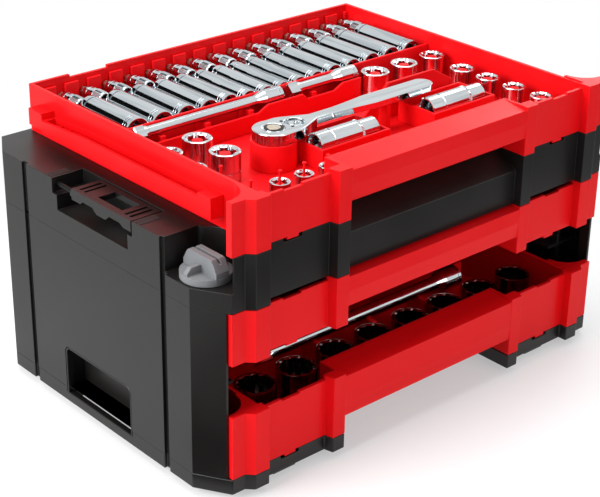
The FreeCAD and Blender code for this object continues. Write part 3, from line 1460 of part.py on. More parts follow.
# ---- upper drawer: rows of small sockets
def upperContents(floor):
    plate, top = insertPlate("upperInsert", floor)
    rowX = f"(upRowIn - {insertHalf})"
    count = fitting(rowX, "upRowStep", f"{insertHalf} - insertGap - standSmall/2")
    rows = [standingRow("upRow%d" % index, count, (rowX, f"{insertBack} - upRowBack - {index}*upRowGap"),
                        ("upRowStep", "0"), ("standSmall", "sizeStep/4"), ("upSocketTall", "0"),
                        "smallPeg", top, "upPegTall")
            for index in range(3)]
    node("upper_insert", plate)
    node("upper_sockets", group("upperSocketsAll", rowNodes("upper", rows)))


upperContents(upperFloor)


def finish():
    """Recompute, check every object and write one file for each node."""
    document.recompute()
    for item in document.Objects:
        for mark in item.State:
            if mark in ("Invalid", "Error"):
                raise RuntimeError("%s is %s" % (item.Name, mark))
    os.makedirs("parts", exist_ok=True)
    for name, piece in nodes.items():
        if piece.Shape.isNull() or not piece.Shape.isValid():
            raise RuntimeError("shape of %s is not valid" % name)
    for name, piece in nodes.items():
        piece.Shape.exportStep("parts/%s.step" % name)
        box = piece.Shape.BoundBox
        print("%-24s solids %2d  volume %10.0f  x %7.1f %7.1f  y %7.1f %7.1f  z %6.1f %6.1f" % (
            name, len(piece.Shape.Solids), piece.Shape.Volume,
            box.XMin, box.XMax, box.YMin, box.YMax, box.ZMin, box.ZMax))


finish()
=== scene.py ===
import json
import math

import bmesh
import bpy
from mathutils import Matrix, Vector


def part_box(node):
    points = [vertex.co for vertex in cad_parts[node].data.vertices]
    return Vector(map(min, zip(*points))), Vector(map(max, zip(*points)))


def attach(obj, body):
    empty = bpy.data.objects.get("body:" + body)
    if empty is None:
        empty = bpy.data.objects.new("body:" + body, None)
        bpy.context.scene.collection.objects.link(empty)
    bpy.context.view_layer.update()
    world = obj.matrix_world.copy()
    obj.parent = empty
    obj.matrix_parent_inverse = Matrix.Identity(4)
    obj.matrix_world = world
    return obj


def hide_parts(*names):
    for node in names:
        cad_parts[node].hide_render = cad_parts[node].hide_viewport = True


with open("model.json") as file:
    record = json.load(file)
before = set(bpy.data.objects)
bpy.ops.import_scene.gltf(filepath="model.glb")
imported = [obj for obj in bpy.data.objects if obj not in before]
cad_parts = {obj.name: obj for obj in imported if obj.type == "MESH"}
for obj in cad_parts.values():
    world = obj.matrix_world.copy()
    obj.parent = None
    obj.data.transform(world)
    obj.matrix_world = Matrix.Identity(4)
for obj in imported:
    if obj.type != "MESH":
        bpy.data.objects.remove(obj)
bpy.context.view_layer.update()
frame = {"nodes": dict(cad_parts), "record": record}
mm = 0.001  # sizes are written in mm, and the scene is in metres
fullTurn = 2 * math.pi


def linearColour(hexText):
    # sRGB hex to the linear values that a shader takes
    parts = [int(hexText[at:at + 2], 16) / 255 for at in (1, 3, 5)]
    return [value / 12.92 if value <= 0.04045 else ((value + 0.055) / 1.055) ** 2.4
            for value in parts] + [1]


def addNode(tree, kind, settings=None, links=None):
    # numbers and capitalised names are input sockets, the other names are the node's own settings
    node = tree.nodes.new(kind)
    for name, value in (settings or {}).items():
        if isinstance(name, int) or name[0].isupper():
            node.inputs[name].default_value = value
        else:
            setattr(node, name, value)
    for name, source in (links or {}).items():
        tree.links.new(source, node.inputs[name])
    return node


def newMaterial(name):
    material = bpy.data.materials.new(name)
    material.use_nodes = True
    tree = material.node_tree
    tree.nodes.clear()
    return material, tree


# what all mouldings share: where their noise turns to a worn colour and to a duller skin
mouldedSkin = {"ior": 1.5, "grainDetail": 2.0, "patchDetail": 3.0, "wornFrom": 0.35, "wornTo": 0.75,
               "dullFrom": 0.3, "dullTo": 0.7, "dullSpread": 0.05}


def mouldedPlastic(name, look):
    # injection moulded plastic: an even colour with a soft sheen, broken by a fine sparked grain
    material, tree = newMaterial(name)
    place = addNode(tree, "ShaderNodeTexCoord").outputs["Object"]
    grain = addNode(tree, "ShaderNodeTexNoise",
                    {"Scale": 1 / (look["grainSize"] * mm), "Detail": mouldedSkin["grainDetail"]},
                    {"Vector": place})
    patch = addNode(tree, "ShaderNodeTexNoise",
                    {"Scale": 1 / (look["patchSize"] * mm), "Detail": mouldedSkin["patchDetail"]},
                    {"Vector": place})
    worn = addNode(tree, "ShaderNodeMapRange",
                   {"From Min": mouldedSkin["wornFrom"], "From Max": mouldedSkin["wornTo"],
                    "To Max": look["wornShare"]},
                   {"Value": patch.outputs["Fac"]})
    shade = addNode(tree, "ShaderNodeMix",
                    {"data_type": "RGBA", 6: linearColour(look["colour"]),
                     7: linearColour(look["worn"])},
                    {0: worn.outputs["Result"]})
    rough = addNode(tree, "ShaderNodeMapRange",
                    {"From Min": mouldedSkin["dullFrom"], "From Max": mouldedSkin["dullTo"],
                     "To Min": look["roughness"] - mouldedSkin["dullSpread"],
                     "To Max": look["roughness"] + mouldedSkin["dullSpread"]},
                    {"Value": patch.outputs["Fac"]})
    bump = addNode(tree, "ShaderNodeBump",
                   {"Strength": look["grainStrength"], "Distance": look["grainDepth"] * mm},
                   {"Height": grain.outputs["Fac"]})
    shader = addNode(tree, "ShaderNodeBsdfPrincipled",
                     {"IOR": mouldedSkin["ior"], "Specular IOR Level": look["shine"]},
                     {"Base Color": shade.outputs[2], "Roughness": rough.outputs["Result"],
                      "Normal": bump.outputs["Normal"]})
    addNode(tree, "ShaderNodeOutputMaterial", {}, {"Surface": shader.outputs["BSDF"]})
    return material


# what all metals share: where the noise of their streaks, partly wheel marks and partly painted
# reflection, turns to a darker shade and to a smear
metalSkin = {"detail": 3.0, "shadeFrom": 0.45, "shadeTo": 0.62, "smearFrom": 0.35, "smearTo": 0.7}


def platedMetal(name, look):
    # polished or plated metal: bright, with darker lengthwise streaks sized in mm, partly marks
    # left by the wheel and partly painted reflection of the dark bands that a mirror shows
    material, tree = newMaterial(name)
    place = addNode(tree, "ShaderNodeTexCoord").outputs["Object"]
    along = addNode(tree, "ShaderNodeMapping",
                    {"Scale": [1 / (size * mm) for size in look["markAndReflectionStreaks"]]}, {"Vector": place})
    markAndReflectionStreaks = addNode(tree, "ShaderNodeTexNoise", {"Scale": 1.0, "Detail": metalSkin["detail"]},
                    {"Vector": along.outputs[0]})
    share = addNode(tree, "ShaderNodeMapRange",
                    {"From Min": metalSkin["shadeFrom"], "From Max": metalSkin["shadeTo"],
                     "To Max": look["shadeShare"]},
                    {"Value": markAndReflectionStreaks.outputs["Fac"]})
    # the darker shade along the streaks is partly painted reflection
    colour = addNode(tree, "ShaderNodeMix",
                     {"data_type": "RGBA", 6: linearColour(look["colour"]),
                      7: linearColour(look["shade"])},
                     {0: share.outputs["Result"]})
    rough = addNode(tree, "ShaderNodeMapRange",
                    {"From Min": metalSkin["smearFrom"], "From Max": metalSkin["smearTo"],
                     "To Min": look["roughness"] - look["smear"],
                     "To Max": look["roughness"] + look["smear"]},
                    {"Value": markAndReflectionStreaks.outputs["Fac"]})
    shader = addNode(tree, "ShaderNodeBsdfPrincipled", {"Metallic": 1.0},
                     {"Base Color": colour.outputs[2], "Roughness": rough.outputs["Result"]})
    addNode(tree, "ShaderNodeOutputMaterial", {}, {"Surface": shader.outputs["BSDF"]})
    return material


# every moulding's grain is drawn at about 1 mm, coarser than the real 0.2 mm, so that it shows
# drawers: red ABS with a satin skin, an even strong red that hardly pales in bright light
redAbs = mouldedPlastic("redMouldedAbs", {
    "colour": "#DC0E14", "worn": "#E3191B", "wornShare": 0.35, "patchSize": 55, "roughness": 0.34,
    "shine": 0.1, "grainSize": 0.9, "grainDepth": 0.05, "grainStrength": 0.2})
# tool inserts: the same ABS a little lighter and duller, so they glow red between the bright tools
redInsert = mouldedPlastic("redInsertAbs", {
    "colour": "#EC1219", "worn": "#F01E20", "wornShare": 0.3, "patchSize": 40, "roughness": 0.42,
    "shine": 0.1, "grainSize": 0.9, "grainDepth": 0.05, "grainStrength": 0.2})
# housing: black ABS with a coarser sparked texture, which turns grey where the light grazes it
blackAbs = mouldedPlastic("blackTexturedAbs", {
    "colour": "#131211", "worn": "#1B1A18", "wornShare": 0.5, "patchSize": 70, "roughness": 0.36,
    "shine": 0.34, "grainSize": 1.1, "grainDepth": 0.1, "grainStrength": 0.4})
# lock knobs: mid grey ABS, matt, with soft light patches
greyAbs = mouldedPlastic("greyKnobAbs", {
    "colour": "#6E7072", "worn": "#7A7C7E", "wornShare": 0.5, "patchSize": 18, "roughness": 0.5,
    "shine": 0.3, "grainSize": 0.9, "grainDepth": 0.06, "grainStrength": 0.4})
# rings in the long sockets: black moulded rubber, nearly without shine
softRubber = mouldedPlastic("blackSoftRubber", {
    "colour": "#1B1A1A", "worn": "#242323", "wornShare": 0.5, "patchSize": 12, "roughness": 0.7,
    "shine": 0.3, "grainSize": 0.9, "grainDepth": 0.05, "grainStrength": 0.3})
# chrome plated steel: a cool mirror with faint darker streaks, which run along each tool: partly
# polishing marks, partly painted reflection of the dark bands along each tube
chromeAcross = platedMetal("polishedChromeAlongX", {
    "colour": "#CDD3D6", "shade": "#A9B0B4", "shadeShare": 0.5, "markAndReflectionStreaks": (60, 5, 5),
    "roughness": 0.1, "smear": 0.03})
chromeDeep = platedMetal("polishedChromeAlongY", {
    "colour": "#C6CDD1", "shade": "#9CA6AC", "shadeShare": 0.55, "markAndReflectionStreaks": (5, 70, 5),
    "roughness": 0.06, "smear": 0.02})
chromeUpright = platedMetal("polishedChromeAlongZ", {
    "colour": "#D6D8DC", "shade": "#A6A4A8", "shadeShare": 0.5, "markAndReflectionStreaks": (4, 4, 40),
    "roughness": 0.1, "smear": 0.03})
# large sockets: black nickel plate, a dark mirror with brownish streaks and thin bright rims
blackChrome = platedMetal("blackNickel", {
    "colour": "#8A8380", "shade": "#4A4442", "shadeShare": 0.6, "markAndReflectionStreaks": (4, 4, 50),
    "roughness": 0.1, "smear": 0.03})
# screws and lock clips: bright zinc plate, light grey with a blurred shine
zinc = platedMetal("brightZinc", {
    "colour": "#B9BBBD", "shade": "#8E9093", "shadeShare": 0.5, "markAndReflectionStreaks": (4, 4, 4),
    "roughness": 0.32, "smear": 0.08})
# hinge pins and the ratchet's ring and screws: blackened steel, dark with a dull shine. The lock
# shafts take it too, as painted shade that keeps their bays dark
blackSteel = platedMetal("blackenedSteel", {
    "colour": "#2B2A2A", "shade": "#1C1B1B", "shadeShare": 0.5, "markAndReflectionStreaks": (4, 9, 4),
    "roughness": 0.38, "smear": 0.08})
# bit tips and the ratchet's button: sanded tool steel, a warm grey without mirror
bitSteel = platedMetal("sandedToolSteel", {
    "colour": "#C9BFAE", "shade": "#9F9484", "shadeShare": 0.5, "markAndReflectionStreaks": (1.5, 4, 1.5),
    "roughness": 0.4, "smear": 0.06})

finishes = {
    "black_plastic": blackAbs, "red_plastic": redAbs, "red_insert": redInsert,
    "grey_plastic": greyAbs, "rubber_ring": softRubber, "chrome": chromeAcross,
    "black_chrome": blackChrome, "zinc_steel": zinc, "blackened_steel": blackSteel,
}
record = frame["record"]
slotOf = {entry["node"]: entry["material_slot"] for entry in record["subparts"]}
bodyOf = {node: body for body, nodes in record["behaviour"]["bodies"].items() for node in nodes}
for nodeName, cadObject in frame["nodes"].items():
    cadObject.data.materials.clear()
    cadObject.data.materials.append(finishes[slotOf[nodeName]])
print("materials ready")


def standIn(piece, *nodes):
    # the piece takes the place of these solids
    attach(piece, bodyOf[nodes[0]])
    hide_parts(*nodes)


def addTrim(piece, nodeName):
    # the piece is an extra on this solid, which stays
    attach(piece, bodyOf[nodeName])


def addObject(name, data):
    made = bpy.data.objects.new(name, data)
    bpy.context.scene.collection.objects.link(made)
    return made


def dress(piece, material):
    piece.data.materials.clear()
    piece.data.materials.append(material)


def plainMesh(piece):
    # the modifiers' result becomes the object's own mesh
    bpy.context.view_layer.update()
    evaluated = piece.evaluated_get(bpy.context.evaluated_depsgraph_get())
    mesh = bpy.data.meshes.new_from_object(evaluated)
    piece.modifiers.clear()
    piece.data = mesh


def smoothMesh(name, work, sharpAbove):
    # a mesh from a bmesh, shaded smooth except at corners above so many degrees
    mesh = bpy.data.meshes.new(name)
    work.to_mesh(mesh)
    work.free()
    mesh.shade_smooth()
    mesh.set_sharp_from_angle(angle=math.radians(sharpAbove))
    return mesh


# points closer than this many metres are one, faces within so many degrees are one flat face, and
# solids are sorted by places with so many digits
joining = {"near": 1e-6, "flat": 1, "digits": 4}


def joinFacets(mesh):
    work = bmesh.new()
    work.from_mesh(mesh)
    bmesh.ops.remove_doubles(work, verts=work.verts, dist=joining["near"])
    bmesh.ops.dissolve_limit(work, angle_limit=math.radians(joining["flat"]), verts=work.verts,
                             edges=work.edges)
    work.to_mesh(mesh)
    work.free()


def cadCopy(nodeName):
    mesh = frame["nodes"][nodeName].data.copy()
    joinFacets(mesh)
    return addObject(nodeName.replace("_", "."), mesh)


def corners(points):
    # the least and the greatest corner of some points
    return tuple(Vector([pick(point[axis] for point in points) for axis in range(3)])
                 for pick in (min, max))


def islands(nodeName):
    # the corners of each separate solid of a node, from left to right
    work = bmesh.new()
    work.from_mesh(frame["nodes"][nodeName].data)
    bmesh.ops.remove_doubles(work, verts=work.verts, dist=joining["near"])
    seen = set()
    boxes = []
    for start in work.verts:
        if start in seen:
            continue
        seen.add(start)
        waiting = [start]
        points = []
        while waiting:
            vert = waiting.pop()
            points.append(vert.co.copy())
            for edge in vert.link_edges:
                other = edge.other_vert(vert)
                if other not in seen:
                    seen.add(other)
                    waiting.append(other)
        boxes.append(corners(points))
    work.free()
    return sorted(boxes, key=lambda box: [round(value, joining["digits"]) for value in box[0]])


# mouldings and plain metal parts: the solids with their edges broken
moulding = {
    "corner": 28,  # degrees: a flatter corner keeps its edge
    "sharp": 18,  # degrees: a flatter corner shades smooth
    "room": 2.6,  # the shortest edge beside a full broken edge is this many times its width
    "leastShare": 0.1,  # a corner with less room than this share of it keeps its edge
    "segments": 2, "flatWeight": 80,
}
edgesOf = {  # width of the broken edge in mm
    "base_plate": 1.1, "side_wall_left": 1.0, "side_wall_right": 1.0, "rear_wall": 0.6,
    "top_cover": 1.2, "lock_knob_left": 0.7, "lock_knob_right": 0.7,
    "stack_latch_left": 0.5, "stack_latch_right": 0.5, "lock_clip_left": 0.15,
    "lock_clip_right": 0.15, "lock_shaft_left": 0.3, "lock_shaft_right": 0.3,
    "latch_pin_left": 0.3, "latch_pin_right": 0.3, "base_screws": 0.25, "cover_screws": 0.25,
    "middle_insert": 0.2, "lower_insert": 0.2, "upper_insert": 0.2,
    "middle_socket_bed": 0.5, "middle_tool_rests": 0.5, "lower_tool_rests": 0.5,
    "middle_pegs": 0.8, "lower_pegs": 1.2, "upper_pegs": 0.6, "plug_socket_grips": 0.3,
    "ratchet_body": 0.7, "ratchet_button": 0.5, "ratchet_selector": 0.3, "ratchet_drive": 0.3,
}
drawerEdge = 1.1
# the lock shafts wear the dark steel as painted shade in their bays, and the ratchet's button its
# own sanded steel
ownFinishAndShade = {"lock_shaft_left": blackSteel, "lock_shaft_right": blackSteel,
             "ratchet_button": bitSteel}


def breakEdges(piece, edge):
    # bevels each corner as wide as the short edges round it allow
    width = edge * mm
    low, high = corners([vert.co.copy() for vert in piece.data.vertices])
    work = bmesh.new()
    work.from_mesh(piece.data)
    share = work.edges.layers.float.new("bevel_weight_edge")
    least = math.radians(moulding["corner"])
    for corner in work.edges:
        if len(corner.link_faces) != 2 or corner.calc_face_angle(0) < least:
            continue
        around = {other for vert in corner.verts for other in vert.link_edges}
        room = min(other.calc_length() for other in around) / (moulding["room"] * width)
        corner[share] = min(1, room) if room > moulding["leastShare"] else 0
    work.to_mesh(piece.data)
    work.free()
    piece.data.shade_smooth()
    piece.data.set_sharp_from_angle(angle=math.radians(moulding["sharp"]))
    bevel = piece.modifiers.new("brokenEdges", "BEVEL")
    bevel.width = width
    bevel.segments = moulding["segments"]
    bevel.limit_method = "WEIGHT"
    bevel.use_clamp_overlap = True
    even = piece.modifiers.new("flatFaces", "WEIGHTED_NORMAL")
    even.weight = moulding["flatWeight"]
    even.keep_sharp = True
    plainMesh(piece)
    for vert in piece.data.vertices:  # a bevel may not reach past the solid
        vert.co = [min(max(vert.co[axis], low[axis]), high[axis]) for axis in range(3)]


def softened(nodeNames, edge):
    # one piece from the joined copies of some solids of one body
    pieces = [cadCopy(nodeName) for nodeName in nodeNames]
    whole = pieces[0]
    for other in pieces[1:]:
        union = whole.modifiers.new("join", "BOOLEAN")
        union.operation = "UNION"
        union.solver = "EXACT"
        union.object = other
        plainMesh(whole)
        bpy.data.objects.remove(other)
    if len(pieces) > 1:
        joinFacets(whole.data)
    breakEdges(whole, edge)
    dress(whole, ownFinishAndShade.get(nodeNames[0], finishes[slotOf[nodeNames[0]]]))
    standIn(whole, *nodeNames)


for prefix in ("lower", "upper", "middle"):
    softened([prefix + "_drawer", prefix + "_drawer_front", prefix + "_drawer_rails"], drawerEdge)
for nodeName, edge in edgesOf.items():
    softened([nodeName], edge)
print("moulded pieces ready")


# turned tools. Sections that aren't round: the number of flats, of waves or of a knurl's steps, and
# the height of a wave or the depth of a step as a share of the radius
flats = {"hex": 6, "square": 4}
waves = {"star": (6, 0.13), "ribs": (12, 0.055)}
knurl = {"steps": 96, "depth": 0.035}
turning = {"sides": 48, "sharp": 32}  # sharp is in degrees: a flatter corner shades smooth


def ringRadius(shape, radius, angle):
    if shape in flats:
        part = math.pi / flats[shape]
        return radius / math.cos((angle % (2 * part)) - part)
    if shape in waves:
        count, height = waves[shape]
        return radius * (1 + height * math.cos(count * angle))
    if shape == "knurl":
        return radius * (1 - knurl["depth"] * (round(angle / fullTurn * knurl["steps"]) % 2))
    return radius


def skinned(name, loops, sharpAbove, closed=False):
    # a skin over loops of points, with both ends capped or the last loop joined to the first
    work = bmesh.new()
    rings = [[work.verts.new(point) for point in loop] for loop in loops]
    pairs = list(zip(rings, rings[1:]))
    if closed:
        pairs.append((rings[-1], rings[0]))
    else:
        work.faces.new(rings[0])
        work.faces.new(rings[-1])
    for first, second in pairs:
        for step in range(len(first)):
            after = (step + 1) % len(first)
            work.faces.new((first[step], first[after], second[after], second[step]))
    bmesh.ops.recalc_face_normals(work, faces=work.faces)
    return addObject(name, smoothMesh(name, work, sharpAbove))


def turned(name, rings, sides=turning["sides"], closed=False):
    # rings are (along, radius, shape) in mm, listed once round the section from its inner end
    loops = []
    for along, radius, *shape in rings:
        loop = []
        for step in range(sides):
            angle = fullTurn * step / sides
            reach = ringRadius(shape[0] if shape else "round", radius, angle) * mm
            loop.append((reach * math.cos(angle), reach * math.sin(angle), along * mm))
        loops.append(loop)
    return skinned(name, loops, turning["sharp"], closed)


def copiesTree():
    # Geometry Nodes: one piece set on every point, each turned by chance about its own axis
    tree = bpy.data.node_groups.new("copiesOnPoints", "GeometryNodeTree")
    for label, kind in (("Points", "NodeSocketGeometry"), ("Piece", "NodeSocketObject"),
                        ("Lie", "NodeSocketVector"), ("Turn Spread", "NodeSocketFloat"),
                        ("Seed", "NodeSocketInt"), ("Finish", "NodeSocketMaterial")):
        tree.interface.new_socket(label, in_out="INPUT", socket_type=kind)
    tree.interface.new_socket("Points", in_out="OUTPUT", socket_type="NodeSocketGeometry")
    given = addNode(tree, "NodeGroupInput").outputs
    source = addNode(tree, "GeometryNodeObjectInfo", {"As Instance": True},
                     {"Object": given["Piece"]})
    spin = addNode(tree, "FunctionNodeRandomValue", {"data_type": "FLOAT"},
                   {3: given["Turn Spread"], "Seed": given["Seed"]})  # 3 is the greatest value
    about = addNode(tree, "ShaderNodeCombineXYZ", {}, {"Z": spin.outputs[1]})
    turn = addNode(tree, "FunctionNodeRotateRotation", {"rotation_space": "LOCAL"},
                   {"Rotation": given["Lie"], "Rotate By": about.outputs[0]})
    stretch = addNode(tree, "GeometryNodeInputNamedAttribute",
                      {"data_type": "FLOAT_VECTOR", "Name": "stretch"})
    copies = addNode(tree, "GeometryNodeInstanceOnPoints", {},
                     {"Points": given["Points"], "Instance": source.outputs["Geometry"],
                      "Rotation": turn.outputs[0], "Scale": stretch.outputs["Attribute"]})
    real = addNode(tree, "GeometryNodeRealizeInstances", {}, {"Geometry": copies.outputs[0]})
    finish = addNode(tree, "GeometryNodeSetMaterial", {},
                     {"Geometry": real.outputs[0], "Material": given["Finish"]})
    addNode(tree, "NodeGroupOutput", {}, {"Points": finish.outputs[0]})
    return tree


onPoints = copiesTree()
lies = {"x": (0, math.pi / 2, 0), "y": (-math.pi / 2, 0, 0), "z": (0, 0, 0)}


def rowOf(name, tool, boxes, axis, finish, seed=1):
    # copies of one turned tool, each fitted into a box and lying along the axis
    one = turned("one", tool["rings"], tool.get("sides", turning["sides"]),
                 tool.get("closed", False))
    along = "xyz".index(axis)
    aside = 0 if along else 1
    points = []
    stretches = []
    for low, high in boxes:
        point = (low + high) / 2
        point[along] = low[along]
        points.append(point)
        half = (high[aside] - low[aside]) / 2
        stretches += [half / (tool["radius"] * mm)] * 2
        stretches.append((high[along] - low[along]) / (tool["long"] * mm))
    mesh = bpy.data.meshes.new(name)
    mesh.from_pydata(points, [], [])
    mesh.attributes.new("stretch", "FLOAT_VECTOR", "POINT").data.foreach_set("vector", stretches)
    piece = addObject(name, mesh)
    maker = piece.modifiers.new("copies", "NODES")
    maker.node_group = onPoints
    socketOf = {item.name: item.identifier for item in onPoints.interface.items_tree
                if item.in_out == "INPUT"}
    maker[socketOf["Piece"]] = one
    maker[socketOf["Lie"]] = lies[axis]
    maker[socketOf["Turn Spread"]] = tool.get("spin", 0.0)
    maker[socketOf["Seed"]] = seed
    maker[socketOf["Finish"]] = finish
    plainMesh(piece)
    bpy.data.objects.remove(one)
    return piece


def joined(name, pieces, finish):
    work = bmesh.new()
    for piece in pieces:
        work.from_mesh(piece.data)
    mesh = bpy.data.meshes.new(name)
    work.to_mesh(mesh)
    work.free()
    for piece in pieces:
        bpy.data.objects.remove(piece)
    whole = addObject(name, mesh)
    dress(whole, finish)
    return whole


# deep sockets: grooves round the mouth, a groove near the drive end. The five narrowest are stepped
deepEnd = [(58.9, 10), (59.1, 9.3), (60.3, 9.3), (60.5, 10), (64.9, 10), (65.6, 9.7), (66, 9.0)]
deepSocket = {"radius": 10, "long": 66, "spin": 0.5, "rings": [
    (26, 6.5, "star"), (1.2, 6.6, "star"), (0.2, 7.9), (0, 8.3), (0, 9.3), (0.6, 9.9), (1.3, 10),
    (3.4, 10), (3.6, 9.55), (4.4, 9.55), (4.6, 10), (6.2, 10), (6.4, 9.55), (7.2, 9.55), (7.4, 10),
    *deepEnd, (66, 4.4, "square"), (54, 4.3, "square")]}
steppedSocket = {"radius": 10, "long": 66, "spin": 0.5, "count": 5, "rings": [
    (26, 5.8, "star"), (1.2, 5.9, "star"), (0.2, 7.0), (0, 7.4), (0, 8.4), (0.6, 9.0), (1.3, 9.1),
    (3.4, 9.1), (3.6, 8.7), (4.4, 8.7), (4.6, 9.1), (6.2, 9.1), (6.4, 8.7), (7.2, 8.7), (7.4, 9.1),
    (30, 9.1), (32, 9.14), (41, 9.96), (43, 10), *deepEnd, (66, 4.4, "square"),
    (54, 4.3, "square")]}


def deepSockets():
    boxes = islands("deep_sockets")
    widths = sorted(high[0] - low[0] for low, high in boxes)
    limit = widths[steppedSocket["count"] - 1] + 0.01 * mm  # the last narrow one, rounding allowed
    narrow = [box for box in boxes if box[1][0] - box[0][0] <= limit]
    wide = [box for box in boxes if box not in narrow]
    rows = [rowOf("deepWide", deepSocket, wide, "y", chromeDeep, 3),
            rowOf("deepNarrow", steppedSocket, narrow, "y", chromeDeep, 5)]
    standIn(joined("deep.sockets", rows, chromeDeep), "deep_sockets")


deepSockets()

# standing sockets: a thin bright rim round a six-lobed mouth, and a bore for the peg below
standingSocket = {"radius": 10, "long": 24, "spin": 0.5, "closed": True, "rings": [
    (12, 6.9, "star"), (22.9, 6.9, "star"), (24, 8.2), (24, 9.5), (23.7, 9.85), (23.2, 10),
    (22.9, 10), (9.6, 10), (9.4, 9.6), (8.6, 9.6), (8.4, 10), (0.8, 10), (0, 9.3), (0, 5.0),
    (12, 5.0)]}
# large sockets: a mouth with twelve ribs, and a waist below the collar
largeSocket = {"radius": 10, "long": 24, "spin": 0.5, "closed": True, "sides": 96, "rings": [
    (12, 8.1, "ribs"), (23.4, 8.1, "ribs"), (24, 8.7, "ribs"), (24, 9.5), (23.8, 9.85), (23.4, 10),
    (23.1, 10), (15.2, 10), (14.6, 9.4), (14.3, 9.4), (1.2, 9.4), (0, 8.6), (0, 5.4), (12, 5.4)]}
# bit sockets: a knurled collar and a plain neck, then the bit's hexagonal tip
bitSocket = {"radius": 6.5, "long": 26, "spin": 0.8, "sides": 96, "rings": [
    (5, 3.4, "square"), (0.3, 3.5, "square"), (0, 5.4), (0.5, 6.2), (1.2, 6.5), (1.9, 6.5),
    (2.1, 6.2), (2.5, 6.2), (2.7, 6.5, "knurl"), (11.4, 6.5, "knurl"), (11.6, 6.2), (12.0, 6.2),
    (12.2, 6.5), (15.2, 6.5), (16, 5.9), (16.4, 5.4), (20.4, 5.4), (20.6, 5.1), (21.2, 5.1),
    (21.4, 5.4), (25.4, 5.4), (26, 4.8)]}
bitTip = {"radius": 3.2, "long": 7.5, "spin": 0.8, "sides": 24, "rings": [
    (0, 2.7, "hex"), (5.2, 2.7, "hex"), (6.2, 2.2), (7.5, 1.5)]}
# long hollow sockets: a groove and a knurled band, then the narrower drive end
longSocket = {"radius": 10, "long": 63, "spin": 0.6, "sides": 96, "rings": [
    (45, 7.7), (1.2, 7.7), (0.2, 8.3), (0, 9.2), (0.8, 10), (13.5, 10), (13.7, 9.65), (14.6, 9.65),
    (14.8, 10), (42, 10), (42.2, 9.6), (43, 9.6), (43.2, 10, "knurl"), (45.4, 10, "knurl"),
    (46, 8.95), (62.1, 8.9), (63, 8.1), (63, 4.7, "square"), (50, 4.6, "square")]}
for nodeName, tool, axis, finish, seed in (
        ("standing_sockets", standingSocket, "z", chromeUpright, 7),
        ("upper_sockets", standingSocket, "z", chromeUpright, 7),
        ("lower_sockets", largeSocket, "z", blackChrome, 7),
        ("bit_sockets", bitSocket, "y", chromeDeep, 11),
        ("bit_tips", bitTip, "y", bitSteel, 13),
        ("spark_plug_sockets", longSocket, "x", chromeAcross, 17)):
    row = rowOf(nodeName.replace("_", "."), tool, islands(nodeName), axis, finish, seed)
    standIn(row, nodeName)

# extension bars: the square drive's width, the shank's radius and the head's length, in mm
bars = {
    "long_extension_bar": {"drive": 9.5, "shank": 4.2, "headLong": 20},
    "short_extension_bar": {"drive": 9.5, "shank": 4.2, "headLong": 20},
    "lower_extension_bar": {"drive": 12.7, "shank": 6, "headLong": 20},
}
# their radii as shares: of the drive's width, then of the shank, then of the head
barShares = {"driveTip": 0.42, "drive": 0.5, "hole": 0.49, "collar": 1.2, "flare": 1.05,
             "shoulder": 0.95, "groove": 0.93, "rim": 0.9}


def barRings(bar, long, head):
    tip, drive, hole = (bar["drive"] * barShares[key] for key in ("driveTip", "drive", "hole"))
    collar, flare = (bar["shank"] * barShares[key] for key in ("collar", "flare"))
    shoulder, groove, rim = (head * barShares[key] for key in ("shoulder", "groove", "rim"))
    driveEnd, start = bar["drive"], long - bar["headLong"]
    return [
        (0, tip, "square"), (0.8, drive, "square"), (driveEnd - 0.4, drive, "square"),
        (driveEnd, collar), (driveEnd + 3, collar), (driveEnd + 4, bar["shank"]),
        (start - 8, bar["shank"]), (start - 6, flare), (start, shoulder), (start + 1.5, head),
        (start + 2, head), (long - 4.8, head), (long - 4.6, groove), (long - 4.0, groove),
        (long - 3.8, head), (long - 0.9, head), (long, rim),
        (long, drive, "square"), (long - driveEnd, hole, "square"),
    ]


for nodeName, bar in bars.items():
    box = islands(nodeName)[0]
    long = (box[1][0] - box[0][0]) / mm
    head = (box[1][2] - box[0][2]) / 2 / mm
    tool = {"radius": head, "long": long, "sides": 96, "rings": barRings(bar, long, head)}
    standIn(rowOf(nodeName.replace("_", "."), tool, [box], "x", chromeAcross), nodeName)
print("tools ready")

# long pins of the tray, which stand between its small sockets: their places, foot to top, in mm
pin = {"places": ((-160, -114.5), (-160, -80.3), (-132, -113.9), (-108.5, -113.9), (-85, -113.9)),
       "top": 240, "radius": 1.6, "long": 32.9, "sides": 16, "rings": [
           (0, 1.5), (1.5, 1.0), (31.3, 1.0), (31.7, 1.6), (32.5, 1.6), (32.9, 1.2)]}


def longPins():
    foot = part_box("middle_insert")[1][2] / mm
    reach = pin["radius"]
    boxes = [(Vector((x - reach, y - reach, foot)) * mm,
              Vector((x + reach, y + reach, pin["top"])) * mm) for x, y in pin["places"]]
    addTrim(rowOf("long.pins", pin, boxes, "z", redInsert), "middle_pegs")


longPins()

# what the ratchet's head carries, in mm: a dark ring round the button, a knurled band below it and
# two screws
ratchetTrim = {"gap": 0.1, "ringWide": 2.4, "stand": 0.25, "sunk": 1, "ringSides": 64,
               "bandUp": 0.6, "bandTall": 3.4, "bandOut": 0.12, "bandDeep": 1.5, "bandSides": 96,
               "screwAlong": 13.5, "screwAside": 6.8, "screwRadius": 1.3, "screwSides": 24}


def shifted(piece, place):
    for vert in piece.data.vertices:
        vert.co += Vector(place)
    return piece


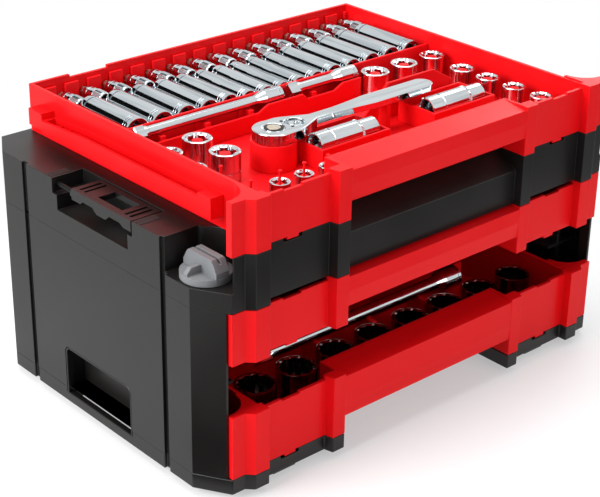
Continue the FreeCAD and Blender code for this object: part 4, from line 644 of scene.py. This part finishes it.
def dressRatchet():
    bodyLow = Vector(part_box("ratchet_body")[0])
    buttonLow, buttonHigh = map(Vector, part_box("ratchet_button"))
    middle = (buttonLow + buttonHigh) / 2
    top = islands("ratchet_body")[0][1].z
    stand, sunk = ratchetTrim["stand"], ratchetTrim["sunk"]

    inner = (buttonHigh.x - buttonLow.x) / 2 / mm + ratchetTrim["gap"]
    outer = inner + ratchetTrim["ringWide"]
    ring = turned("ratchet.ring", [(-sunk, inner), (stand, inner), (stand, outer), (-sunk, outer)],
                  ratchetTrim["ringSides"], closed=True)
    shifted(ring, (middle.x, middle.y, top))
    dress(ring, blackSteel)
    addTrim(ring, "ratchet_body")

    reach = (middle.x - bodyLow.x) / mm + ratchetTrim["bandOut"]
    inside = reach - ratchetTrim["bandDeep"]
    low, high = ratchetTrim["bandUp"], ratchetTrim["bandUp"] + ratchetTrim["bandTall"]
    band = turned("ratchet.band", [(low, inside), (low, reach, "knurl"), (high, reach, "knurl"),
                                   (high, inside)], ratchetTrim["bandSides"], closed=True)
    shifted(band, (middle.x, middle.y, bodyLow.z))
    dress(band, chromeAcross)
    addTrim(band, "ratchet_body")

    radius, aside = ratchetTrim["screwRadius"], ratchetTrim["screwAside"] * mm
    pair = []
    for side in (-1, 1):
        screw = turned("screw", [(-sunk, radius), (stand, radius)], ratchetTrim["screwSides"])
        pair.append(shifted(screw, (0, side * aside, 0)))
    screws = joined("ratchet.screws", pair, blackSteel)
    shifted(screws, (middle.x + ratchetTrim["screwAlong"] * mm, middle.y, top))
    addTrim(screws, "ratchet_body")


dressRatchet()

# the bead round each carrying recess: its section in mm (inward from the opening's edge, back from
# the side's face), and the opening that it follows, with round upper corners
bead = {"section": [(-0.3, 3.0), (0.5, 1.4), (0.5, 0.5), (0.9, 0.1), (1.7, 0.1), (2.1, 0.5),
                    (2.1, 6.0), (-0.3, 6.0)],
        "middle": 2.85, "half": 45, "top": 57.7, "foot": 14.1, "round": 6, "steps": 8, "sharp": 35}


def openingPath():
    # points (y, z) along the edge of the opening, each with its direction inward
    path = []
    radius = bead["round"]
    for side in (-1, 1):
        edge = bead["middle"] + side * bead["half"]
        half = [(edge, bead["foot"], -side, 0)]
        for step in range(bead["steps"] + 1):
            angle = math.pi / 2 * step / bead["steps"]
            along, up = side * math.cos(angle), math.sin(angle)
            half.append((edge - side * radius + along * radius, bead["top"] - radius + up * radius,
                         -along, -up))
        path += half if side < 0 else half[::-1]
    return path


def recessBead(name, nodeName, face):
    loops = []
    for y, z, inY, inZ in openingPath():
        loops.append([(math.copysign(abs(face) - back, face) * mm, (y + inY * inward) * mm,
                       (z + inZ * inward) * mm) for inward, back in bead["section"]])
    piece = skinned(name, loops, bead["sharp"])
    dress(piece, blackAbs)
    addTrim(piece, nodeName)


recessBead("recess.bead.left", "side_wall_left", -220)
recessBead("recess.bead.right", "side_wall_right", 220)

# grip pads on the cover at both ends of each latch, in mm: a thin plate with rows of low bumps.
# near and far are distances from the middle of the box, and ends are places from front to back
pads = {"near": 199.5, "far": 218.8, "ends": ((-60.4, -52.2), (54.7, 62.9)), "plate": 0.25,
        "pitch": 1.5, "edge": 0.9}
padBump = {"radius": 0.55, "long": 0.3, "sides": 10, "rings": [(0, 0.55), (0.2, 0.5), (0.3, 0.3)]}


def padPlate(low, high):
    # a plate between two corners in mm
    work = bmesh.new()
    bmesh.ops.create_cube(work, size=1)
    for vert in work.verts:
        vert.co = [((least + most) / 2 + part * (most - least)) * mm
                   for part, least, most in zip(vert.co, low, high)]
    mesh = bpy.data.meshes.new("padPlate")
    work.to_mesh(mesh)
    work.free()
    return addObject("padPlate", mesh)


def gripPads(name, side):
    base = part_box("top_cover")[1][2] / mm
    top = base + pads["plate"]
    reach = padBump["radius"]
    low, high = sorted((side * pads["near"], side * pads["far"]))
    across = int((high - low - 2 * pads["edge"]) / pads["pitch"])
    plates = []
    spots = []
    for start, end in pads["ends"]:
        plates.append(padPlate((low, start, base), (high, end, top)))
        along = int((end - start - 2 * pads["edge"]) / pads["pitch"])
        for row in range(across + 1):
            for step in range(along + 1):
                x = (low + high) / 2 + (row - across / 2) * pads["pitch"]
                y = (start + end) / 2 + (step - along / 2) * pads["pitch"]
                spots.append((Vector((x - reach, y - reach, top)) * mm,
                              Vector((x + reach, y + reach, top + padBump["long"])) * mm))
    bumps = rowOf("padBumps", padBump, spots, "z", blackAbs)
    addTrim(joined(name, plates + [bumps], blackAbs), "top_cover")


gripPads("grip.pads.left", -1)
gripPads("grip.pads.right", 1)
print("trim ready")

# the camera: place, lens and sensor in mm, angles in degrees, nearest seen distance in metres
view = {"place": (-825.79, -910.75, 686.81), "azimuth": 41.876, "elevation": 25.754,
        "roll": -0.903, "lens": 95.04, "sensor": 36, "near": 0.01}


def setCamera():
    azimuth, elevation, roll = (math.radians(view[key]) for key in ("azimuth", "elevation", "roll"))
    forward = Vector((math.sin(azimuth) * math.cos(elevation),
                      math.cos(azimuth) * math.cos(elevation), -math.sin(elevation)))
    right = Vector((math.cos(azimuth), -math.sin(azimuth), 0))
    down = forward.cross(right)
    turnedRight = right * math.cos(roll) + down * math.sin(roll)
    turnedDown = down * math.cos(roll) - right * math.sin(roll)
    data = bpy.data.cameras.new("viewCamera")
    data.lens = view["lens"]
    data.sensor_width = view["sensor"]
    data.clip_start = view["near"]
    camera = addObject("viewCamera", data)
    rotation = Matrix((turnedRight, -turnedDown, -forward)).transposed()
    camera.matrix_world = Matrix.Translation(Vector(view["place"]) * mm) @ rotation.to_4x4()
    bpy.context.scene.camera = camera


setCamera()

# soft lamps in metres and watts, all aimed at the middle of the box
lampAim = (0, 0, 0.12)
lamps = {
    "keyLeft": {"place": (-1.7, 0.25, 1.0), "size": (1.2, 1.2), "power": 45},
    "fillFront": {"place": (0.3, -2.1, 1.0), "size": (1.4, 1.0), "power": 11.5},
    "topSoft": {"place": (0.1, 0.3, 2.0), "size": (1.6, 1.2), "power": 31},
    "rightRear": {"place": (1.8, 0.8, 1.2), "size": (0.7, 1.4), "power": 9},
}
for name, lamp in lamps.items():
    data = bpy.data.lights.new(name, "AREA")
    data.shape = "RECTANGLE"
    data.size, data.size_y = lamp["size"]
    data.energy = lamp["power"]
    light = addObject(name, data)
    light.location = lamp["place"]
    light.rotation_euler = (Vector(lampAim) - light.location).to_track_quat("-Z", "Y").to_euler()

surround = {"colour": "#E6E8EC", "strength": 0.42}  # the light that the world gives
# how the world and the far floor look to the camera and to mirrors
white = {"Color": (1, 1, 1, 1), "Strength": 1.0}


def shownRays(tree):
    # the camera, mirrors and clear parts all meet the same white background
    rays = addNode(tree, "ShaderNodeLightPath").outputs
    mirrored = addNode(tree, "ShaderNodeMath", {"operation": "ADD"},
                       {0: rays["Is Camera Ray"], 1: rays["Is Glossy Ray"]})
    total = addNode(tree, "ShaderNodeMath", {"operation": "ADD", "use_clamp": True},
                    {0: mirrored.outputs[0], 1: rays["Is Transmission Ray"]})
    return total.outputs[0]


def setWorld():
    world = bpy.data.worlds.new("studio")
    world.use_nodes = True
    tree = world.node_tree
    tree.nodes.clear()
    soft = addNode(tree, "ShaderNodeBackground",
                   {"Color": linearColour(surround["colour"]), "Strength": surround["strength"]})
    bright = addNode(tree, "ShaderNodeBackground", white)
    mixed = addNode(tree, "ShaderNodeMixShader", {},
                    {0: shownRays(tree), 1: soft.outputs[0], 2: bright.outputs[0]})
    addNode(tree, "ShaderNodeOutputWorld", {}, {"Surface": mixed.outputs[0]})
    bpy.context.scene.world = world


setWorld()


def flatSheet(name, wide, deep, material):
    # one rectangle that lies about the origin, given by its half sizes
    mesh = bpy.data.meshes.new(name)
    mesh.from_pydata([(-wide, -deep, 0), (wide, -deep, 0), (wide, deep, 0), (-wide, deep, 0)], [],
                     [(0, 1, 2, 3)])
    mesh.materials.append(material)
    return addObject(name, mesh)


# black cards that only mirrors see: one draws the dark band along each tool, one keeps the fronts
# deep in colour, one keeps the corner beside them dark. Places and half sizes are in metres, turns
# in degrees
feltColour = "#101010"
cards = {
    "cardBehind": {"place": (-0.73, 1.4, 1.13), "half": (0.66, 0.6), "turn": (55, 0, 27)},
    "cardBeforeFront": {"place": (0.75, -0.95, 0.004), "half": (0.85, 0.6), "turn": (0, 0, 0)},
    "cardBeforeCorner": {"place": (-0.41, -0.29, 0.005), "half": (0.24, 0.12),
                         "turn": (0, 0, 33.5)},
}


def setCards():
    felt, tree = newMaterial("blackFelt")  # matt black cloth, which gives nothing back
    matt = addNode(tree, "ShaderNodeBsdfDiffuse", {"Color": linearColour(feltColour)})
    addNode(tree, "ShaderNodeOutputMaterial", {}, {"Surface": matt.outputs[0]})
    for name, card in cards.items():
        sheet = flatSheet(name, *card["half"], felt)
        sheet.location = card["place"]
        sheet.rotation_euler = [math.radians(angle) for angle in card["turn"]]
        for ray in ("visible_camera", "visible_diffuse", "visible_shadow", "visible_transmission"):
            setattr(sheet, ray, False)


setCards()

# the floor keeps the shadow near the object and turns white away from it, over these metres
floorLook = {"half": 6, "colour": "#F4F4F4", "shadowTo": 0.22, "whiteFrom": 0.5, "leastWhite": 0.42}


def setFloor():
    material, tree = newMaterial("paleFloor")  # pale matt board, with only a soft shadow on it
    place = addNode(tree, "ShaderNodeTexCoord").outputs["Object"]
    distance = addNode(tree, "ShaderNodeVectorMath", {"operation": "LENGTH"}, {0: place})
    far = addNode(tree, "ShaderNodeMapRange",
                  {"From Min": floorLook["shadowTo"], "From Max": floorLook["whiteFrom"],
                   "To Min": floorLook["leastWhite"]},
                  {"Value": distance.outputs["Value"]})
    seen = addNode(tree, "ShaderNodeMath", {"operation": "MULTIPLY"},
                   {0: far.outputs["Result"], 1: shownRays(tree)})
    matt = addNode(tree, "ShaderNodeBsdfDiffuse", {"Color": linearColour(floorLook["colour"])})
    bright = addNode(tree, "ShaderNodeEmission", white)
    mixed = addNode(tree, "ShaderNodeMixShader", {},
                    {0: seen.outputs[0], 1: matt.outputs[0], 2: bright.outputs[0]})
    addNode(tree, "ShaderNodeOutputMaterial", {}, {"Surface": mixed.outputs[0]})
    flatSheet("floor", floorLook["half"], floorLook["half"], material)


setFloor()
bpy.context.scene.view_settings.view_transform = "Standard"
print("camera, lights and floor ready")
